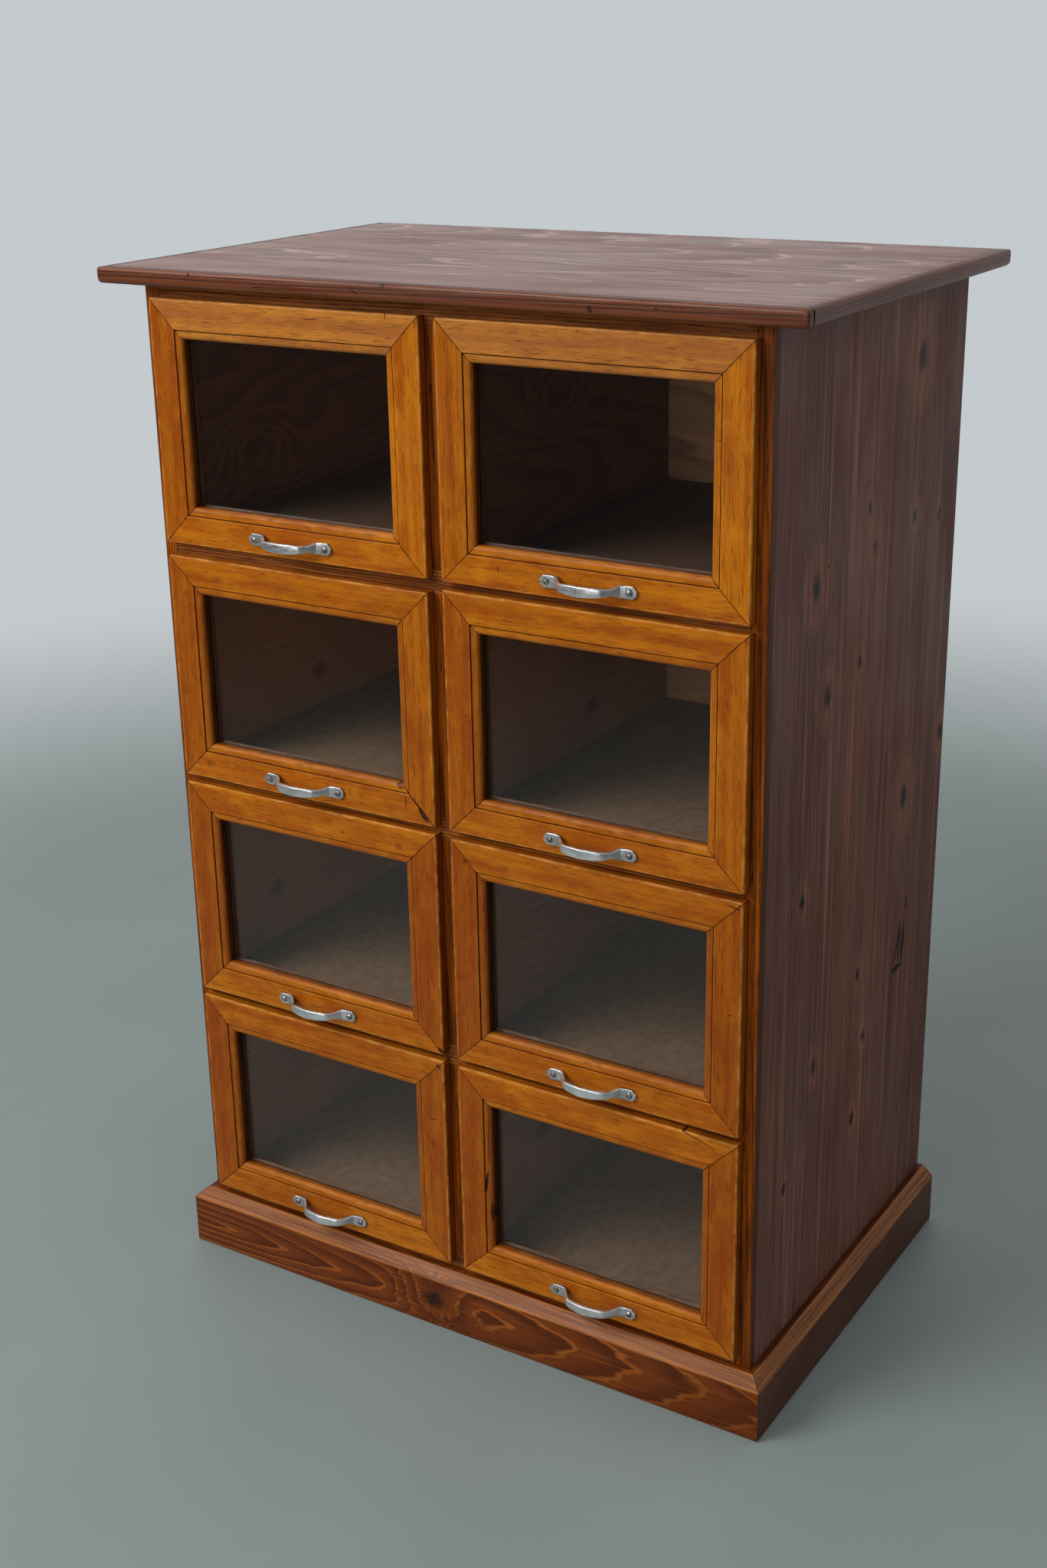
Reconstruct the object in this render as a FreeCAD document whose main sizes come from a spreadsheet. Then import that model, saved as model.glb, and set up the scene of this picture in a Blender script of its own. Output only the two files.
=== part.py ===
import FreeCAD, Part
import os

import Sketcher

# Haberdashery cabinet: a pine carcass on a mitred plinth, with an oak face frame and eight glass-fronted
# drawers in two columns of four.  Millimetres, +X to the right, +Y to the back, +Z up.  The origin is on
# the floor, under the middle of the carcass.  Each drawer front is a moulded, mitred frame whose lip stops
# against the face frame; its pane is held by beads, and its grooved box slides on runners.

doc = FreeCAD.newDocument("haberdashery_cabinet")

# ---------------------------------------------------------------------------------------------------
# Driving sizes: one cell each, in millimetres
# ---------------------------------------------------------------------------------------------------

SIZES = [
    # carcass
    ("carcass_width", 760, "over the two side panels"),
    ("carcass_depth", 500, "front of the face frame to the back"),
    ("side_thickness", 19, "glued-up pine side panels, and the stiles that lip them"),
    ("partition_thickness", 18, "board between the two columns"),
    ("back_thickness", 8, "back panel"),
    ("back_rebate_width", 9, "how far the back panel laps into each side panel"),
    ("back_foot", 60, "lower edge of the back panel above the floor"),
    ("bottom_board_thickness", 18, "board under the lowest drawers"),
    ("housing_depth", 8, "rail tenons and the bottom board, into the side panels"),
    ("tenon_shoulder", 6, "above and below each rail tenon"),
    # face frame
    ("facing_depth", 10, "stiles, front to back"),
    ("centre_stile_width", 28, "short stiles between the columns"),
    ("rail_height", 25.5, "rails between the rows"),
    ("rail_depth", 45, "rails, front to back"),
    ("top_rail_height", 22, "rail under the top"),
    ("bottom_rail_height", 57.5, "rail behind the plinth"),
    ("bottom_rail_depth", 20, "rail behind the plinth, front to back"),
    ("bay_height", 256, "clear height of one drawer opening"),
    ("base_height", 97.5, "floor of the lowest drawer openings"),
    # top
    ("top_thickness", 18, "top panel and its lippings"),
    ("top_side_overhang", 44, "past each side panel"),
    ("top_front_overhang", 28, "past the face frame"),
    ("top_back_overhang", 8, "past the back"),
    ("front_lipping", 13, "strip along the front of the top"),
    ("side_lipping", 9, "strips along the ends of the top"),
    ("top_arris", 3, "rounding of the upper arrises of the top"),
    ("under_arris", 6, "rounding of the lower arrises of the top"),
    # plinth and hidden blocks
    ("plinth_thickness", 21, "boards round the foot"),
    ("plinth_reveal", 20.5, "bottom rail that shows above the plinth"),
    ("plinth_chamfer", 12.5, "planed chamfer along their upper edge"),
    ("corner_block", 35, "legs of the triangular glue blocks"),
    ("mid_block_width", 60, "rectangular glue blocks behind the plinth"),
    ("mid_block_depth", 22, "rectangular glue blocks behind the plinth"),
    ("mid_block_spread", 130, "from the middle to each rectangular block's centre"),
    ("bearer_thickness", 30, "bearer on the floor under the middle of the bottom board"),
    ("cleat_width", 24, "strips that hold the top"),
    ("cleat_height", 18, "strips that hold the top"),
    # runners
    ("runner_height", 20, "strips that carry the drawers"),
    ("runner_margin", 3, "how far a runner reaches past the drawer side on it"),
    ("guide_height", 30, "strips that steer the drawers along the partition"),
    # drawer front
    ("front_proud", 13, "how far a drawer front stands out of the face frame"),
    ("front_in_bay", 9, "how far its lipped back enters the opening"),
    ("front_side_lap", 4.5, "how far it laps over a stile"),
    ("front_rail_lap", 8.25, "how far it laps over a rail"),
    ("short_front_drop", 6, "how much lower the second left front ends at its top"),
    ("front_member", 43, "width of its four mitred members"),
    ("mould_width", 10, "sunk strip along the sight edge"),
    ("mould_depth", 1.2, "how deep that strip is sunk"),
    ("front_arris", 2.5, "rounding of the outer arrises"),
    ("sight_arris", 0.8, "chamfer of the sight edge"),
    ("bay_clearance", 1.5, "between drawer and opening on every side"),
    ("mitre_reach", 5, "how far the mitre saw runs past the sight edge"),
    # glazing
    ("glass_thickness", 3, "pane"),
    ("glass_rebate", 9, "rebate that holds the pane, past the sight edge"),
    ("glass_clearance", 1, "between the pane and its rebate, at the ends and the top"),
    # drawer box
    ("box_side_thickness", 12, "drawer sides"),
    ("box_back_thickness", 12, "drawer back"),
    ("box_headroom", 6, "between the drawer sides and the rail above"),
    ("box_length", 478, "drawer sides, from the back of the front's lip"),
    ("box_bottom_thickness", 6, "drawer bottom"),
    ("box_groove_lift", 6, "groove for the bottom above the lower edge"),
    ("box_groove_depth", 5, "groove for the bottom, in the sides and the front"),
    ("back_inset", 6, "drawer back ahead of the ends of the sides"),
    ("back_housing", 4, "drawer back into the sides"),
    # pull
    ("screw_spacing", 96, "between the two screws of a pull"),
    ("pull_lift", 17.5, "screws above the lower edge of the front"),
    ("pad_overrun", 8, "pad past its screw"),
    ("pad_thickness", 3, "pad against the wood"),
    ("pad_height", 13, "pad, top to bottom"),
    ("pad_clip", 3, "clipped outer corners of the pad"),
    ("pad_inner", 42, "middle of the pull to the inner end of the pad's full height"),
    ("neck_foot", 39, "middle of the pull to the foot of its neck"),
    ("neck_wall", 5, "neck, measured along the wood"),
    ("grip_end", 22, "middle of the pull to the end of its grip"),
    ("grip_rise", 20.5, "front of the grip above the wood, at its ends"),
    ("grip_bow", 4.5, "extra rise at the middle of the grip"),
    ("grip_thickness", 4, "grip, front to back"),
    ("grip_height", 11, "grip at its middle, top to bottom"),
    ("waist_height", 8, "neck, top to bottom"),
    ("waist_place", 31, "middle of the pull to its narrowest place"),
    ("bend_radius", 5, "bends of the strap"),
    # pull screws
    ("screw_head_radius", 3.9, "head where it meets the pad"),
    ("screw_top_radius", 2, "flat top of the head"),
    ("screw_head_height", 2.6, "head"),
]

ROWS = ["bottom", "lower", "upper", "top"]
COLUMNS = [("left", -1), ("right", 1)]

sizes = doc.addObject("Spreadsheet::Sheet", "Sizes")
for row_number, (alias, number, meaning) in enumerate(SIZES, 1):
    sizes.set(f"A{row_number}", alias)
    sizes.set(f"B{row_number}", str(number))
    sizes.set(f"C{row_number}", meaning)
    sizes.setAlias(f"B{row_number}", alias)

# What follows from the driving sizes.
LAYOUT = [
    ("half_width", "Sizes.carcass_width / 2"),
    ("face_y", "-Sizes.carcass_depth / 2"),
    ("back_y", "Sizes.carcass_depth / 2"),
    ("inside_back_y", "back_y - Sizes.back_thickness"),
    ("behind_rails", "face_y + Sizes.rail_depth"),
    ("inner_x", "half_width - Sizes.side_thickness"),
    ("plinth_height", "Sizes.base_height - Sizes.plinth_reveal"),
    ("row_pitch", "Sizes.bay_height + Sizes.rail_height"),
    ("carcass_height", f"Sizes.base_height + {len(ROWS)} * Sizes.bay_height"
                       f" + {len(ROWS) - 1} * Sizes.rail_height + Sizes.top_rail_height"),
    ("bay_width", "inner_x - Sizes.centre_stile_width / 2"),
    ("bay_centre", "(inner_x + Sizes.centre_stile_width / 2) / 2"),
    ("front_width", "bay_width + 2 * Sizes.front_side_lap"),
    ("box_width", "bay_width - 2 * Sizes.bay_clearance"),
    ("box_inside", "box_width / 2 - Sizes.box_side_thickness"),
    ("box_height", "Sizes.bay_height - Sizes.box_headroom"),
    ("box_floor", "Sizes.box_groove_lift + Sizes.box_bottom_thickness"),
    ("pull_z", "Sizes.pull_lift - Sizes.front_rail_lap"),
    ("pull_length", "Sizes.screw_spacing + 2 * Sizes.pad_overrun"),
    ("pull_depth", "Sizes.grip_rise + Sizes.grip_bow"),
]

layout = doc.addObject("Spreadsheet::Sheet", "Layout")
for row_number, (alias, formula) in enumerate(LAYOUT, 1):
    layout.set(f"A{row_number}", alias)
    layout.set(f"B{row_number}", f"={formula}")
    layout.setAlias(f"B{row_number}", alias)
doc.recompute()


# ---------------------------------------------------------------------------------------------------
# Ways of making a piece
# ---------------------------------------------------------------------------------------------------

EDGE_SLACK = 0.01  # how closely an edge must lie where it is looked for


def value(formula):
    """The number that a formula over the sheets gives."""
    return float(layout.evalExpression(formula))


def bind(thing, **formulas):
    """Tie properties to formulas; a double underscore stands for a dot."""
    for name, formula in formulas.items():
        thing.setExpression(name.replace("__", "."), formula)


def board(name, low, size):
    """A square-edged board: its lowest corner and its three sizes, as formulas."""
    box = doc.addObject("Part::Box", name)
    bind(box, Placement__Base__x=low[0], Placement__Base__y=low[1], Placement__Base__z=low[2],
         Length=size[0], Width=size[1], Height=size[2])
    return box


def new_body(name):
    return doc.addObject("PartDesign::Body", name)


def plane_sketch(body, name, role, offset):
    """An empty sketch on one of the body's own planes, lifted by offset along the plane's normal."""
    sketch = body.newObject("Sketcher::SketchObject", name)
    plane = next(feature for feature in body.Origin.OriginFeatures if feature.Role == role)
    sketch.AttachmentSupport = [(plane, "")]
    sketch.MapMode = "FlatFace"
    bind(sketch, AttachmentOffset__Base__z=offset)
    return sketch


def closed_outline(body, name, role, corners, offset="0"):
    """A sketch that holds one closed loop."""
    sketch = plane_sketch(body, name, role, offset)
    add_loop(sketch, corners)
    return sketch


def add_loop(sketch, corners):
    """Draw one closed loop in a sketch, with every corner tied to its formulas.

    A corner is (x, y) or (x, y, sagitta); a sagitta makes the line to the next corner an arc that
    bulges to the left of its direction of travel.
    """
    points = [FreeCAD.Vector(value(corner[0]), value(corner[1]), 0) for corner in corners]
    first = sketch.GeometryCount
    ends = []
    for index, corner in enumerate(corners):
        start = points[index]
        stop = points[(index + 1) % len(points)]
        if len(corner) == 2:
            sketch.addGeometry(Part.LineSegment(start, stop), False)
            ends.append((1, 2))
            continue
        chord = stop - start
        normal = FreeCAD.Vector(-chord.y, chord.x, 0).normalize()
        middle = (start + stop) * 0.5 + normal * value(corner[2])
        number = sketch.addGeometry(Part.Arc(start, middle, stop), False)
        forward = sketch.getPoint(number, 1).isEqual(start, EDGE_SLACK)
        ends.append((1, 2) if forward else (2, 1))
    for index, corner in enumerate(corners):
        after = (index + 1) % len(corners)
        sketch.addConstraint(Sketcher.Constraint("Coincident", first + index, ends[index][1],
                                                 first + after, ends[after][0]))
        for axis, kind in enumerate(("DistanceX", "DistanceY")):
            number = sketch.addConstraint(Sketcher.Constraint(kind, first + index, ends[index][0],
                                                              points[index][axis]))
            sketch.setExpression(f"Constraints[{number}]", corner[axis])
        if len(corner) == 3:
            onward = corners[after]
            chord_squared = f"((({onward[0]}) - ({corner[0]}))^2 + (({onward[1]}) - ({corner[1]}))^2)"
            radius = f"{chord_squared} / 8 / abs({corner[2]}) + abs({corner[2]}) / 2"
            number = sketch.addConstraint(Sketcher.Constraint("Radius", first + index, value(radius)))
            sketch.setExpression(f"Constraints[{number}]", radius)


def rectangle(low_x, low_y, high_x, high_y):
    return [(low_x, low_y), (high_x, low_y), (high_x, high_y), (low_x, high_y)]


def pad(body, sketch, length, backward=False, both_ways=False):
    feature = body.newObject("PartDesign::Pad", f"{sketch.Name}_pad")
    feature.Profile = sketch
    feature.Midplane = both_ways
    feature.Reversed = backward
    bind(feature, Length=length)
    doc.recompute()
    return feature


def pocket(body, sketch, length, backward=False, both_ways=False):
    """Cut a sketch out of the body; a cut that removes nothing is an error."""
    before = body.Shape.Volume
    feature = body.newObject("PartDesign::Pocket", f"{sketch.Name}_cut")
    feature.Profile = sketch
    feature.Midplane = both_ways
    feature.Reversed = backward
    bind(feature, Length=length)
    doc.recompute()
    if not body.Shape.Volume < before:
        raise RuntimeError(f"{feature.Name} removes nothing")
    return feature


def dress_edges(body, kind, name, wanted, **size):
    """Put a Fillet or a Chamfer on the edges of the body that the test picks."""
    base = body.Tip
    picked = [f"Edge{number}" for number, edge in enumerate(base.Shape.Edges, 1) if wanted(edge)]
    if not picked:
        raise RuntimeError(f"{name} finds no edge")
    feature = body.newObject(f"PartDesign::{kind}", name)
    feature.Base = (base, picked)
    bind(feature, **size)
    doc.recompute()


def near(number, formula):
    return abs(number - value(formula)) < EDGE_SLACK


def flat_at(edge, axis, formula):
    """Whether an edge lies wholly at one height along an axis."""
    low = getattr(edge.BoundBox, f"{axis}Min")
    high = getattr(edge.BoundBox, f"{axis}Max")
    return near(low, formula) and near(high, formula)


def common(name, base, tool):
    piece = doc.addObject("Part::Common", name)
    piece.Base = base
    piece.Tool = tool
    return piece


nodes = []


def node(label, pieces, x="0", y="0", z="0"):
    """One named sub-part: the separate solids of a group, set down at a place."""
    group = doc.addObject("Part::Compound", label)
    group.Links = pieces
    group.Label = label
    bind(group, Placement__Base__x=x, Placement__Base__y=y, Placement__Base__z=z)
    nodes.append(group)


# ---------------------------------------------------------------------------------------------------
# Carcass
# ---------------------------------------------------------------------------------------------------

def bay_floor(row):
    """Height of the floor of a row of openings; row 0 is the lowest."""
    return f"Sizes.base_height + {row} * Layout.row_pitch"


def rail_levels():
    """Name, underside, height and depth of every rail, from the floor up."""
    levels = [("bottom", "Sizes.base_height - Sizes.bottom_rail_height", "Sizes.bottom_rail_height",
               "Sizes.bottom_rail_depth")]
    for row, name in enumerate(ROWS[1:], 1):
        levels.append((f"under_{name}", f"{bay_floor(row)} - Sizes.rail_height", "Sizes.rail_height",
                       "Sizes.rail_depth"))
    levels.append(("top", "Layout.carcass_height - Sizes.top_rail_height", "Sizes.top_rail_height",
                   "Sizes.rail_depth"))
    return levels


def side_panel(label, hand):
    """Side panel, rebated for the back panel and housed for the rail tenons and the bottom board.

    hand is -1 on the left and 1 on the right.
    """
    body = new_body(f"{label}_body")
    outer = f"{hand} * Layout.half_width"
    inner = f"{hand} * Layout.inner_x"
    rebate = f"{hand} * (Layout.inner_x + Sizes.back_rebate_width)"
    front = "Layout.face_y + Sizes.facing_depth"
    plan = closed_outline(body, f"{label}_plan", "XY_Plane", [
        (outer, front),
        (inner, front),
        (inner, "Layout.inside_back_y"),
        (rebate, "Layout.inside_back_y"),
        (rebate, "Layout.back_y"),
        (outer, "Layout.back_y"),
    ])
    pad(body, plan, "Layout.carcass_height")
    housings = closed_outline(body, f"{label}_housings", "YZ_Plane", rectangle(
        "Layout.face_y + Sizes.bottom_rail_depth", "Sizes.base_height - Sizes.bottom_board_thickness",
        "Layout.inside_back_y", "Sizes.base_height"), offset=inner)
    for name, under, height, depth in rail_levels():
        add_loop(housings, rectangle(
            front, f"{under} + Sizes.tenon_shoulder",
            f"Layout.face_y + {depth}", f"{under} + {height} - Sizes.tenon_shoulder"))
    pocket(body, housings, "Sizes.housing_depth", backward=hand > 0)
    node(label, [body])


side_panel("side_left", -1)
side_panel("side_right", 1)

node("back_panel", [board(
    "back_sheet",
    ("-(Layout.inner_x + Sizes.back_rebate_width)", "Layout.inside_back_y", "Sizes.back_foot"),
    ("2 * (Layout.inner_x + Sizes.back_rebate_width)", "Sizes.back_thickness",
     "Layout.carcass_height - Sizes.back_foot"))])

node("bottom_board", [board(
    "bottom_sheet",
    ("-(Layout.inner_x + Sizes.housing_depth)", "Layout.face_y + Sizes.bottom_rail_depth",
     "Sizes.base_height - Sizes.bottom_board_thickness"),
    ("2 * (Layout.inner_x + Sizes.housing_depth)",
     "Sizes.carcass_depth - Sizes.back_thickness - Sizes.bottom_rail_depth",
     "Sizes.bottom_board_thickness"))])


def centre_partition():
    """Partition between the columns, notched over the rails at its front edge."""
    body = new_body("partition_body")
    front = "Layout.face_y + Sizes.facing_depth"
    notch = "Layout.behind_rails"
    corners = [
        ("Layout.inside_back_y", "Layout.carcass_height"),
        ("Layout.inside_back_y", "Sizes.base_height"),
        (front, "Sizes.base_height"),
    ]
    for row in range(1, len(ROWS)):
        rail_top = bay_floor(row)
        rail_under = f"{rail_top} - Sizes.rail_height"
        corners += [(front, rail_under), (notch, rail_under), (notch, rail_top), (front, rail_top)]
    top_rail_under = "Layout.carcass_height - Sizes.top_rail_height"
    corners += [(front, top_rail_under), (notch, top_rail_under), (notch, "Layout.carcass_height")]
    elevation = closed_outline(body, "partition_elevation", "YZ_Plane", corners)
    pad(body, elevation, "Sizes.partition_thickness", both_ways=True)
    node("centre_partition", [body])


centre_partition()


# ---------------------------------------------------------------------------------------------------
# Face frame: full-height outer stiles, rails between them, short centre stiles between the rails
# ---------------------------------------------------------------------------------------------------

def rail(name, under, height, depth):
    """Rail between the outer stiles, with a stub tenon housed in each side panel behind the stile."""
    body = new_body(f"rail_{name}")
    shoulder, tenon = "Layout.inner_x", "(Layout.inner_x + Sizes.housing_depth)"
    front, rear = "Layout.face_y", f"Layout.face_y + {depth}"
    behind_stile = "Layout.face_y + Sizes.facing_depth"
    plan = closed_outline(body, f"rail_{name}_plan", "XY_Plane", [
        (f"-{shoulder}", front), (shoulder, front),
        (shoulder, behind_stile), (tenon, behind_stile),
        (tenon, rear), (f"-{tenon}", rear),
        (f"-{tenon}", behind_stile), (f"-{shoulder}", behind_stile),
    ], offset=under)
    pad(body, plan, height)
    over = f"{under} + {height}"
    tenon_under, tenon_over = f"{under} + Sizes.tenon_shoulder", f"{over} - Sizes.tenon_shoulder"
    waste = closed_outline(body, f"rail_{name}_shoulders", "XZ_Plane",
                           rectangle(shoulder, under, tenon, tenon_under), offset=f"-({behind_stile})")
    add_loop(waste, rectangle(shoulder, tenon_over, tenon, over))
    add_loop(waste, rectangle(f"-{tenon}", under, f"-{shoulder}", tenon_under))
    add_loop(waste, rectangle(f"-{tenon}", tenon_over, f"-{shoulder}", over))
    pocket(body, waste, f"{depth} - Sizes.facing_depth")
    return body


def face_frame():
    stiles = []
    for column, hand in COLUMNS:
        stile_low = "-Layout.half_width" if hand < 0 else "Layout.inner_x"
        stiles.append(board(
            f"stile_{column}", (stile_low, "Layout.face_y", "0"),
            ("Sizes.side_thickness", "Sizes.facing_depth", "Layout.carcass_height")))
    for row, name in enumerate(ROWS):
        stiles.append(board(
            f"centre_stile_{name}",
            ("-Sizes.centre_stile_width / 2", "Layout.face_y", bay_floor(row)),
            ("Sizes.centre_stile_width", "Sizes.facing_depth", "Sizes.bay_height")))
    rails = [rail(*level) for level in rail_levels()]
    node("face_frame_stiles", stiles)
    node("face_frame_rails", rails)


face_frame()


def drawer_runners():
    """Runners under the drawer sides of the upper three rows, and guides along the partition.

    The lowest drawers run on the bottom board.
    """
    strips = []
    start = "Layout.behind_rails"
    length = "Layout.inside_back_y - Layout.behind_rails"
    bearing = "Sizes.bay_clearance + Sizes.box_side_thickness + Sizes.runner_margin"
    guide_width = "(Sizes.centre_stile_width - Sizes.partition_thickness) / 2"
    for row, name in enumerate(ROWS):
        floor = bay_floor(row)
        for column, hand in COLUMNS:
            guide_low = "Sizes.partition_thickness / 2" if hand > 0 else "-Sizes.centre_stile_width / 2"
            strips.append(board(f"guide_{name}_{column}", (guide_low, start, floor),
                                (guide_width, length, "Sizes.guide_height")))
            if row == 0:
                continue
            outer_low = f"Layout.inner_x - ({bearing})" if hand > 0 else "-Layout.inner_x"
            inner_width = f"{guide_width} + {bearing}"
            inner_low = "Sizes.partition_thickness / 2"
            if hand < 0:
                inner_low = f"-Sizes.partition_thickness / 2 - ({inner_width})"
            under = f"{floor} - Sizes.runner_height"
            strips.append(board(f"runner_outer_{name}_{column}", (outer_low, start, under),
                                (bearing, length, "Sizes.runner_height")))
            strips.append(board(f"runner_inner_{name}_{column}", (inner_low, start, under),
                                (inner_width, length, "Sizes.runner_height")))
    node("drawer_runners", strips)


drawer_runners()


# ---------------------------------------------------------------------------------------------------
# Top: a panel with a lipping along its front and each end, rounded all round
# ---------------------------------------------------------------------------------------------------

def round_top_piece(body, wanted):
    """Round the outer upper and lower arrises of one piece of the top."""
    over, under = "Layout.carcass_height + Sizes.top_thickness", "Layout.carcass_height"
    dress_edges(body, "Fillet", f"{body.Name}_upper_round",
                lambda edge: wanted(edge) and flat_at(edge, "Z", over), Radius="Sizes.top_arris")
    dress_edges(body, "Fillet", f"{body.Name}_under_round",
                lambda edge: wanted(edge) and flat_at(edge, "Z", under), Radius="Sizes.under_arris")


def slab(name, low_x, low_y, high_x, high_y):
    """A piece of the top, square-edged, standing on the carcass."""
    body = new_body(name)
    plan = closed_outline(body, f"{name}_plan", "XY_Plane", rectangle(low_x, low_y, high_x, high_y),
                          offset="Layout.carcass_height")
    pad(body, plan, "Sizes.top_thickness")
    return body


def top():
    end_x = "(Layout.half_width + Sizes.top_side_overhang)"
    front_y = "Layout.face_y - Sizes.top_front_overhang"
    rear_y = "Layout.back_y + Sizes.top_back_overhang"
    seam_x = f"({end_x} - Sizes.side_lipping)"
    seam_y = f"({front_y} + Sizes.front_lipping)"

    panel = slab("top_field", f"-{seam_x}", seam_y, seam_x, rear_y)
    round_top_piece(panel, lambda edge: flat_at(edge, "Y", rear_y))
    node("top_panel", [panel])

    front = slab("lipping_front", f"-{end_x}", front_y, end_x, seam_y)
    round_top_piece(front, lambda edge: flat_at(edge, "Y", front_y) or flat_at(edge, "X", end_x)
                    or flat_at(edge, "X", f"-{end_x}"))
    lippings = [front]
    for column, hand in COLUMNS:
        outer, inner = f"{hand} * {end_x}", f"{hand} * {seam_x}"
        low, high = (outer, inner) if hand < 0 else (inner, outer)
        lipping = slab(f"lipping_{column}", low, seam_y, high, rear_y)
        round_top_piece(lipping, lambda edge, end=outer: flat_at(edge, "X", end)
                        or flat_at(edge, "Y", rear_y))
        lippings.append(lipping)
    node("top_lippings", lippings)


top()


# ---------------------------------------------------------------------------------------------------
# Plinth boards, mitred at the front corners, and the blocks and cleats that nobody sees
# ---------------------------------------------------------------------------------------------------

def plinth():
    chamfer_foot = "Layout.plinth_height - Sizes.plinth_chamfer"
    outer_y = "Layout.face_y - Sizes.plinth_thickness"
    outer_x = "Layout.half_width + Sizes.plinth_thickness"
    front = new_body("plinth_front")
    section = closed_outline(front, "plinth_front_section", "YZ_Plane", [
        ("Layout.face_y", "0"),
        (outer_y, "0"),
        (outer_y, chamfer_foot),
        (f"{outer_y} + Sizes.plinth_chamfer", "Layout.plinth_height"),
        ("Layout.face_y", "Layout.plinth_height"),
    ])
    pad(front, section, f"2 * ({outer_x})", both_ways=True)
    boards = [front]
    for column, hand in COLUMNS:
        inner = f"{hand} * Layout.half_width"
        outer = f"{hand} * ({outer_x})"
        front_waste = closed_outline(front, f"plinth_front_mitre_{column}", "XY_Plane", [
            (inner, "Layout.face_y"), (outer, outer_y), (outer, "Layout.face_y")])
        pocket(front, front_waste, "Layout.plinth_height", backward=True)
        side = new_body(f"plinth_side_{column}")
        section = closed_outline(side, f"plinth_side_section_{column}", "XZ_Plane", [
            (inner, "0"),
            (outer, "0"),
            (outer, chamfer_foot),
            (f"{hand} * ({outer_x} - Sizes.plinth_chamfer)", "Layout.plinth_height"),
            (inner, "Layout.plinth_height"),
        ], offset="Sizes.plinth_thickness - Layout.face_y")
        pad(side, section, "Sizes.carcass_depth + Sizes.plinth_thickness", backward=True)
        side_waste = closed_outline(side, f"plinth_side_mitre_{column}", "XY_Plane", [
            (inner, "Layout.face_y"), (inner, outer_y), (outer, outer_y)])
        pocket(side, side_waste, "Layout.plinth_height", backward=True)
        boards.append(side)
    node("plinth_boards", boards)


plinth()


def blocks_and_cleats():
    """Glue blocks behind the front plinth board, a bearer that carries the partition and the middle
    of the bottom board down to the floor, and cleats under the top along the side panels."""
    behind_rail = "Layout.face_y + Sizes.bottom_rail_depth"
    pieces = [board(
        "centre_bearer",
        ("-Sizes.bearer_thickness / 2", behind_rail, "0"),
        ("Sizes.bearer_thickness", f"Layout.inside_back_y - ({behind_rail})",
         "Sizes.base_height - Sizes.bottom_board_thickness"))]
    block_height = "Sizes.base_height - Sizes.bottom_rail_height"
    for column, hand in COLUMNS:
        body = new_body(f"corner_block_{column}")
        plan = closed_outline(body, f"corner_block_plan_{column}", "XY_Plane", [
            (f"{hand} * Layout.inner_x", "Layout.face_y"),
            (f"{hand} * Layout.inner_x", "Layout.face_y + Sizes.corner_block"),
            (f"{hand} * (Layout.inner_x - Sizes.corner_block)", "Layout.face_y"),
        ])
        pad(body, plan, block_height)
        pieces.append(body)
        pieces.append(board(
            f"mid_block_{column}",
            (f"{hand} * Sizes.mid_block_spread - Sizes.mid_block_width / 2", "Layout.face_y", "0"),
            ("Sizes.mid_block_width", "Sizes.mid_block_depth", block_height)))
        cleat_low = "-Layout.inner_x" if hand < 0 else "Layout.inner_x - Sizes.cleat_width"
        pieces.append(board(
            f"cleat_{column}",
            (cleat_low, "Layout.behind_rails", "Layout.carcass_height - Sizes.cleat_height"),
            ("Sizes.cleat_width", "Layout.inside_back_y - Layout.behind_rails", "Sizes.cleat_height")))
    node("blocks_and_cleats", pieces)


blocks_and_cleats()


# ---------------------------------------------------------------------------------------------------
# Drawer, in its own frame: middle of the opening, front of the face frame, floor of the opening
# ---------------------------------------------------------------------------------------------------

def ring(drop, inset):
    """Rectangle that lies inset within the edge of a drawer front; drop lowers its top."""
    side = f"Layout.front_width / 2 - ({inset})"
    return rectangle(f"-({side})", f"({inset}) - Sizes.front_rail_lap",
                     side, f"Sizes.bay_height + Sizes.front_rail_lap - ({drop}) - ({inset})")


def mitred(name, blank, drop):
    """Saw a rectangular frame into its four members, along the mitres of the drawer front."""
    outer = ring(drop, "0")
    inner = ring(drop, "Sizes.front_member + Sizes.mitre_reach")
    members = []
    for index, side in enumerate(("foot", "right", "head", "left")):
        after = (index + 1) % len(outer)
        saw = new_body(f"{name}_{side}_saw")
        wedge = closed_outline(saw, f"{name}_{side}_wedge", "XZ_Plane",
                               [outer[index], outer[after], inner[after], inner[index]],
                               offset="-Sizes.front_in_bay")
        pad(saw, wedge, "Sizes.front_proud + Sizes.front_in_bay")
        members.append(common(f"{name}_{side}", blank, saw))
    return members


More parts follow.
